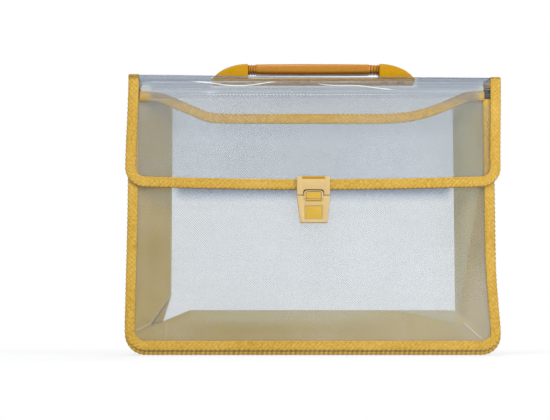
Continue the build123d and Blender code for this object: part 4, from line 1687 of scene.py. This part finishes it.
def lock():
    """Lock's plate, body, frame, button, inlays, sill strip and catch, its hidden parts' finish, and the
    corner clips; the sill strip is a painted shadow under the frame and the catch also darkens the gap as
    painted shade.
    """
    for node in ("lock_body_backing", "lock_body_rivets", "lock_flap_backing", "lock_flap_rivets"):
        finish_node(node, "lock_plastic")
    button_spring()
    corner_clips()
    face = plate_low.y
    flap_plate(face)
    lock_body(face)
    lock_frame(face)
    push_button()
    # A darker strip in the groove under the button's frame stands in for the shadow line there: a painted
    # shadow.
    layers = plate(SILL, face + 0.3 * MM, face - 0.08 * MM, 0.1 * MM, 0.5)
    lock_piece("lock_sill_shadow_strip", "handle_plastic", layers, "front")
    # Dark steel catch behind the flap plate's notch; its darkness in the gap round the button also stands in
    # for the shade there.
    layers = plate(CATCH, front_low.y - 1.2 * MM, flap_edge_low.y + 0.2 * MM, 0.2 * MM)
    lock_piece("lock_catch_gap_shade", "dark_steel", layers, "front")


# Stage


CAMERA_X = -38.5 * MM
CAMERA_Z = 25 * MM
CAMERA_DISTANCE = 1.3
AIM_Z = 144.5 * MM
IMAGE_WIDTH = 550
SENSOR = 36.0
BAG_PER_PIXEL = 1.001 * MM


def set_camera():
    """Camera low in front of the bag, a little to its left, tilted up."""
    data = bpy.data.cameras.new("Camera")
    camera = bpy.data.objects.new("Camera", data)
    bpy.context.scene.collection.objects.link(camera)
    bag_front = front_edge_low.y
    rise = AIM_Z - CAMERA_Z
    slant = math.hypot(CAMERA_DISTANCE, rise)
    data.sensor_width = SENSOR
    data.lens = SENSOR * slant / (IMAGE_WIDTH * BAG_PER_PIXEL)
    camera.location = (CAMERA_X, bag_front - CAMERA_DISTANCE, CAMERA_Z)
    camera.rotation_euler = (math.pi / 2 + math.atan2(rise, CAMERA_DISTANCE), 0, 0)
    bpy.context.scene.camera = camera


def add_lamp(name, place, aim, size, power):
    """Soft square lamp."""
    data = bpy.data.lights.new(name, "AREA")
    data.size = size
    data.energy = power
    lamp = bpy.data.objects.new(name, data)
    bpy.context.scene.collection.objects.link(lamp)
    lamp.location = place
    lamp.rotation_euler = (Vector(aim) - Vector(place)).to_track_quat("-Z", "Y").to_euler()


def background_rays(add, link):
    """1 for the rays that show the background: camera, glossy and transmission."""
    rays = add("ShaderNodeLightPath")
    result = rays.outputs["Is Camera Ray"]
    for name in ("Is Glossy Ray", "Is Transmission Ray"):
        both = add("ShaderNodeMath")
        both.operation = "MAXIMUM"
        link(result, both.inputs[0])
        link(rays.outputs[name], both.inputs[1])
        result = both.outputs[0]
    return result


def stage_material():
    """Pale floor that shows white to the camera and still takes the bag's shadow near the bag."""
    shader = Shader("pale_floor")
    shader.set(Base_Color=(0.88, 0.88, 0.88, 1), Roughness=0.85, Specular_IOR_Level=0.2)
    seen = background_rays(shader.tree.nodes.new, shader.tree.links.new)
    glow = shader.node("Emission", {"Color": (1, 1, 1, 1), "Strength": 1.0})
    away = shader.node("VectorMath", {0: shader.object_place()}, output=1, operation="LENGTH")
    share = shader.math("MULTIPLY", seen, shader.spread(away, 0.25, 0.7, 0.6, 1.0))
    mixed = shader.node("MixShader", {0: share, 1: shader.base.outputs[0], 2: glow})
    shader.link(mixed, shader.tree.nodes["Material Output"].inputs[0])
    return shader.material


def set_world():
    """Even pale surroundings, white behind the bag."""
    world = bpy.data.worlds.new("Studio")
    world.use_nodes = True
    tree = world.node_tree
    surround = tree.nodes["Background"]
    surround.inputs[0].default_value = (0.94, 0.97, 1, 1)
    surround.inputs[1].default_value = 0.5
    white = tree.nodes.new("ShaderNodeBackground")
    white.inputs[0].default_value = (1, 1, 1, 1)
    mixed = tree.nodes.new("ShaderNodeMixShader")
    tree.links.new(background_rays(tree.nodes.new, tree.links.new), mixed.inputs[0])
    tree.links.new(surround.outputs[0], mixed.inputs[1])
    tree.links.new(white.outputs[0], mixed.inputs[2])
    tree.links.new(mixed.outputs[0], tree.nodes["World Output"].inputs[0])
    bpy.context.scene.world = world


def floor():
    """Floor under the bag."""
    reach = 4.0
    mesh = bpy.data.meshes.new("floor")
    level = -0.15 * MM
    corners = [(-reach, -reach, level), (reach, -reach, level), (reach, reach, level), (-reach, reach, level)]
    mesh.from_pydata(corners, [], [(0, 1, 2, 3)])
    mesh.materials.append(stage_material())
    ground = bpy.data.objects.new("floor", mesh)
    bpy.context.scene.collection.objects.link(ground)


def stage():
    """View settings, camera, lamps, surroundings and floor."""
    scene = bpy.context.scene
    scene.view_settings.view_transform = "Standard"
    scene.cycles.transparent_max_bounces = 32
    set_camera()
    set_world()
    add_lamp("Key", (-0.3, -1.2, 1.6), (0, 0, 0.15), 0.8, 19)
    add_lamp("Fill", (1.1, -1.0, 0.6), (0, 0, 0.12), 0.8, 10)
    add_lamp("Behind", (0.3, 1.3, 1.2), (0, 0, 0.15), 1.0, 8)
    floor()


class BAG_OT_materials(bpy.types.Operator):
    """Make the finishes of every piece"""

    bl_idname = "bag.materials"
    bl_label = "Finishes"

    def execute(self, context):
        make_materials()
        return {"FINISHED"}


class BAG_OT_sheets(bpy.types.Operator):
    """Make the clear back, front and flap"""

    bl_idname = "bag.sheets"
    bl_label = "Clear sheets"

    def execute(self, context):
        clear_panels()
        return {"FINISHED"}


class BAG_OT_panel_tapes(bpy.types.Operator):
    """Make the tape round the back and front panels and over the mouth"""

    bl_idname = "bag.panel_tapes"
    bl_label = "Panel tapes"

    def execute(self, context):
        panel_tape("back_tape", "back", "back_binding", back_middle, 1, back_edge_high.z)
        panel_tape("front_tape", "front", "front_binding", front_middle, -1, front_edge_high.z, pull_front)
        mouth_tape()
        return {"FINISHED"}


class BAG_OT_lid(bpy.types.Operator):
    """Make the lid's spine, strip, creases and tape"""

    bl_idname = "bag.lid"
    bl_label = "Lid"

    def execute(self, context):
        lid_sheets()
        lid_tapes()
        return {"FINISHED"}


class BAG_OT_gusset(bpy.types.Operator):
    """Make the folded gusset film and the tape on its top ends"""

    bl_idname = "bag.gusset"
    bl_label = "Gusset"

    def execute(self, context):
        gusset_film()
        return {"FINISHED"}


class BAG_OT_handle(bpy.types.Operator):
    """Make the grip, its ribbed necks and its brackets"""

    bl_idname = "bag.handle"
    bl_label = "Handle"

    def execute(self, context):
        handle()
        return {"FINISHED"}


class BAG_OT_lock(bpy.types.Operator):
    """Make the lock and the corner clips"""

    bl_idname = "bag.lock"
    bl_label = "Lock and clips"

    def execute(self, context):
        lock()
        return {"FINISHED"}


class BAG_OT_stage(bpy.types.Operator):
    """Set the camera, the lamps, the surroundings and the floor"""

    bl_idname = "bag.stage"
    bl_label = "Stage"

    def execute(self, context):
        stage()
        return {"FINISHED"}


class BAG_PT_pieces(bpy.types.Panel):
    """Lists the bag's groups of pieces and their sizes"""

    bl_idname = "BAG_PT_pieces"
    bl_label = "Document bag"
    bl_space_type = "VIEW_3D"
    bl_region_type = "UI"
    bl_category = "Bag"

    def draw(self, context):
        layout = self.layout
        for kind in OPERATORS:
            layout.operator(kind.bl_idname)
        for group in (context.scene.bag_sizes, context.scene.bag_colours):
            for name in group.__annotations__:
                layout.prop(group, name)


OPERATORS = (
    BAG_OT_materials, BAG_OT_sheets, BAG_OT_panel_tapes, BAG_OT_lid, BAG_OT_gusset, BAG_OT_handle,
    BAG_OT_lock, BAG_OT_stage,
)
CLASSES = (BagSizes, BagColours, *OPERATORS, BAG_PT_pieces)


def register():
    """Adds the classes and the scene's settings."""
    for kind in CLASSES:
        bpy.utils.register_class(kind)
    bpy.types.Scene.bag_sizes = PointerProperty(type=BagSizes)
    bpy.types.Scene.bag_colours = PointerProperty(type=BagColours)


def unregister():
    """Takes them away again."""
    del bpy.types.Scene.bag_colours
    del bpy.types.Scene.bag_sizes
    for kind in reversed(CLASSES):
        bpy.utils.unregister_class(kind)


def main():
    """Makes the bag and its stage."""
    register()
    bpy.ops.bag.materials()
    bpy.ops.bag.sheets()
    bpy.ops.bag.panel_tapes()
    bpy.ops.bag.lid()
    bpy.ops.bag.gusset()
    bpy.ops.bag.handle()
    bpy.ops.bag.lock()
    bpy.ops.bag.stage()


if __name__ == "__main__":
    main()
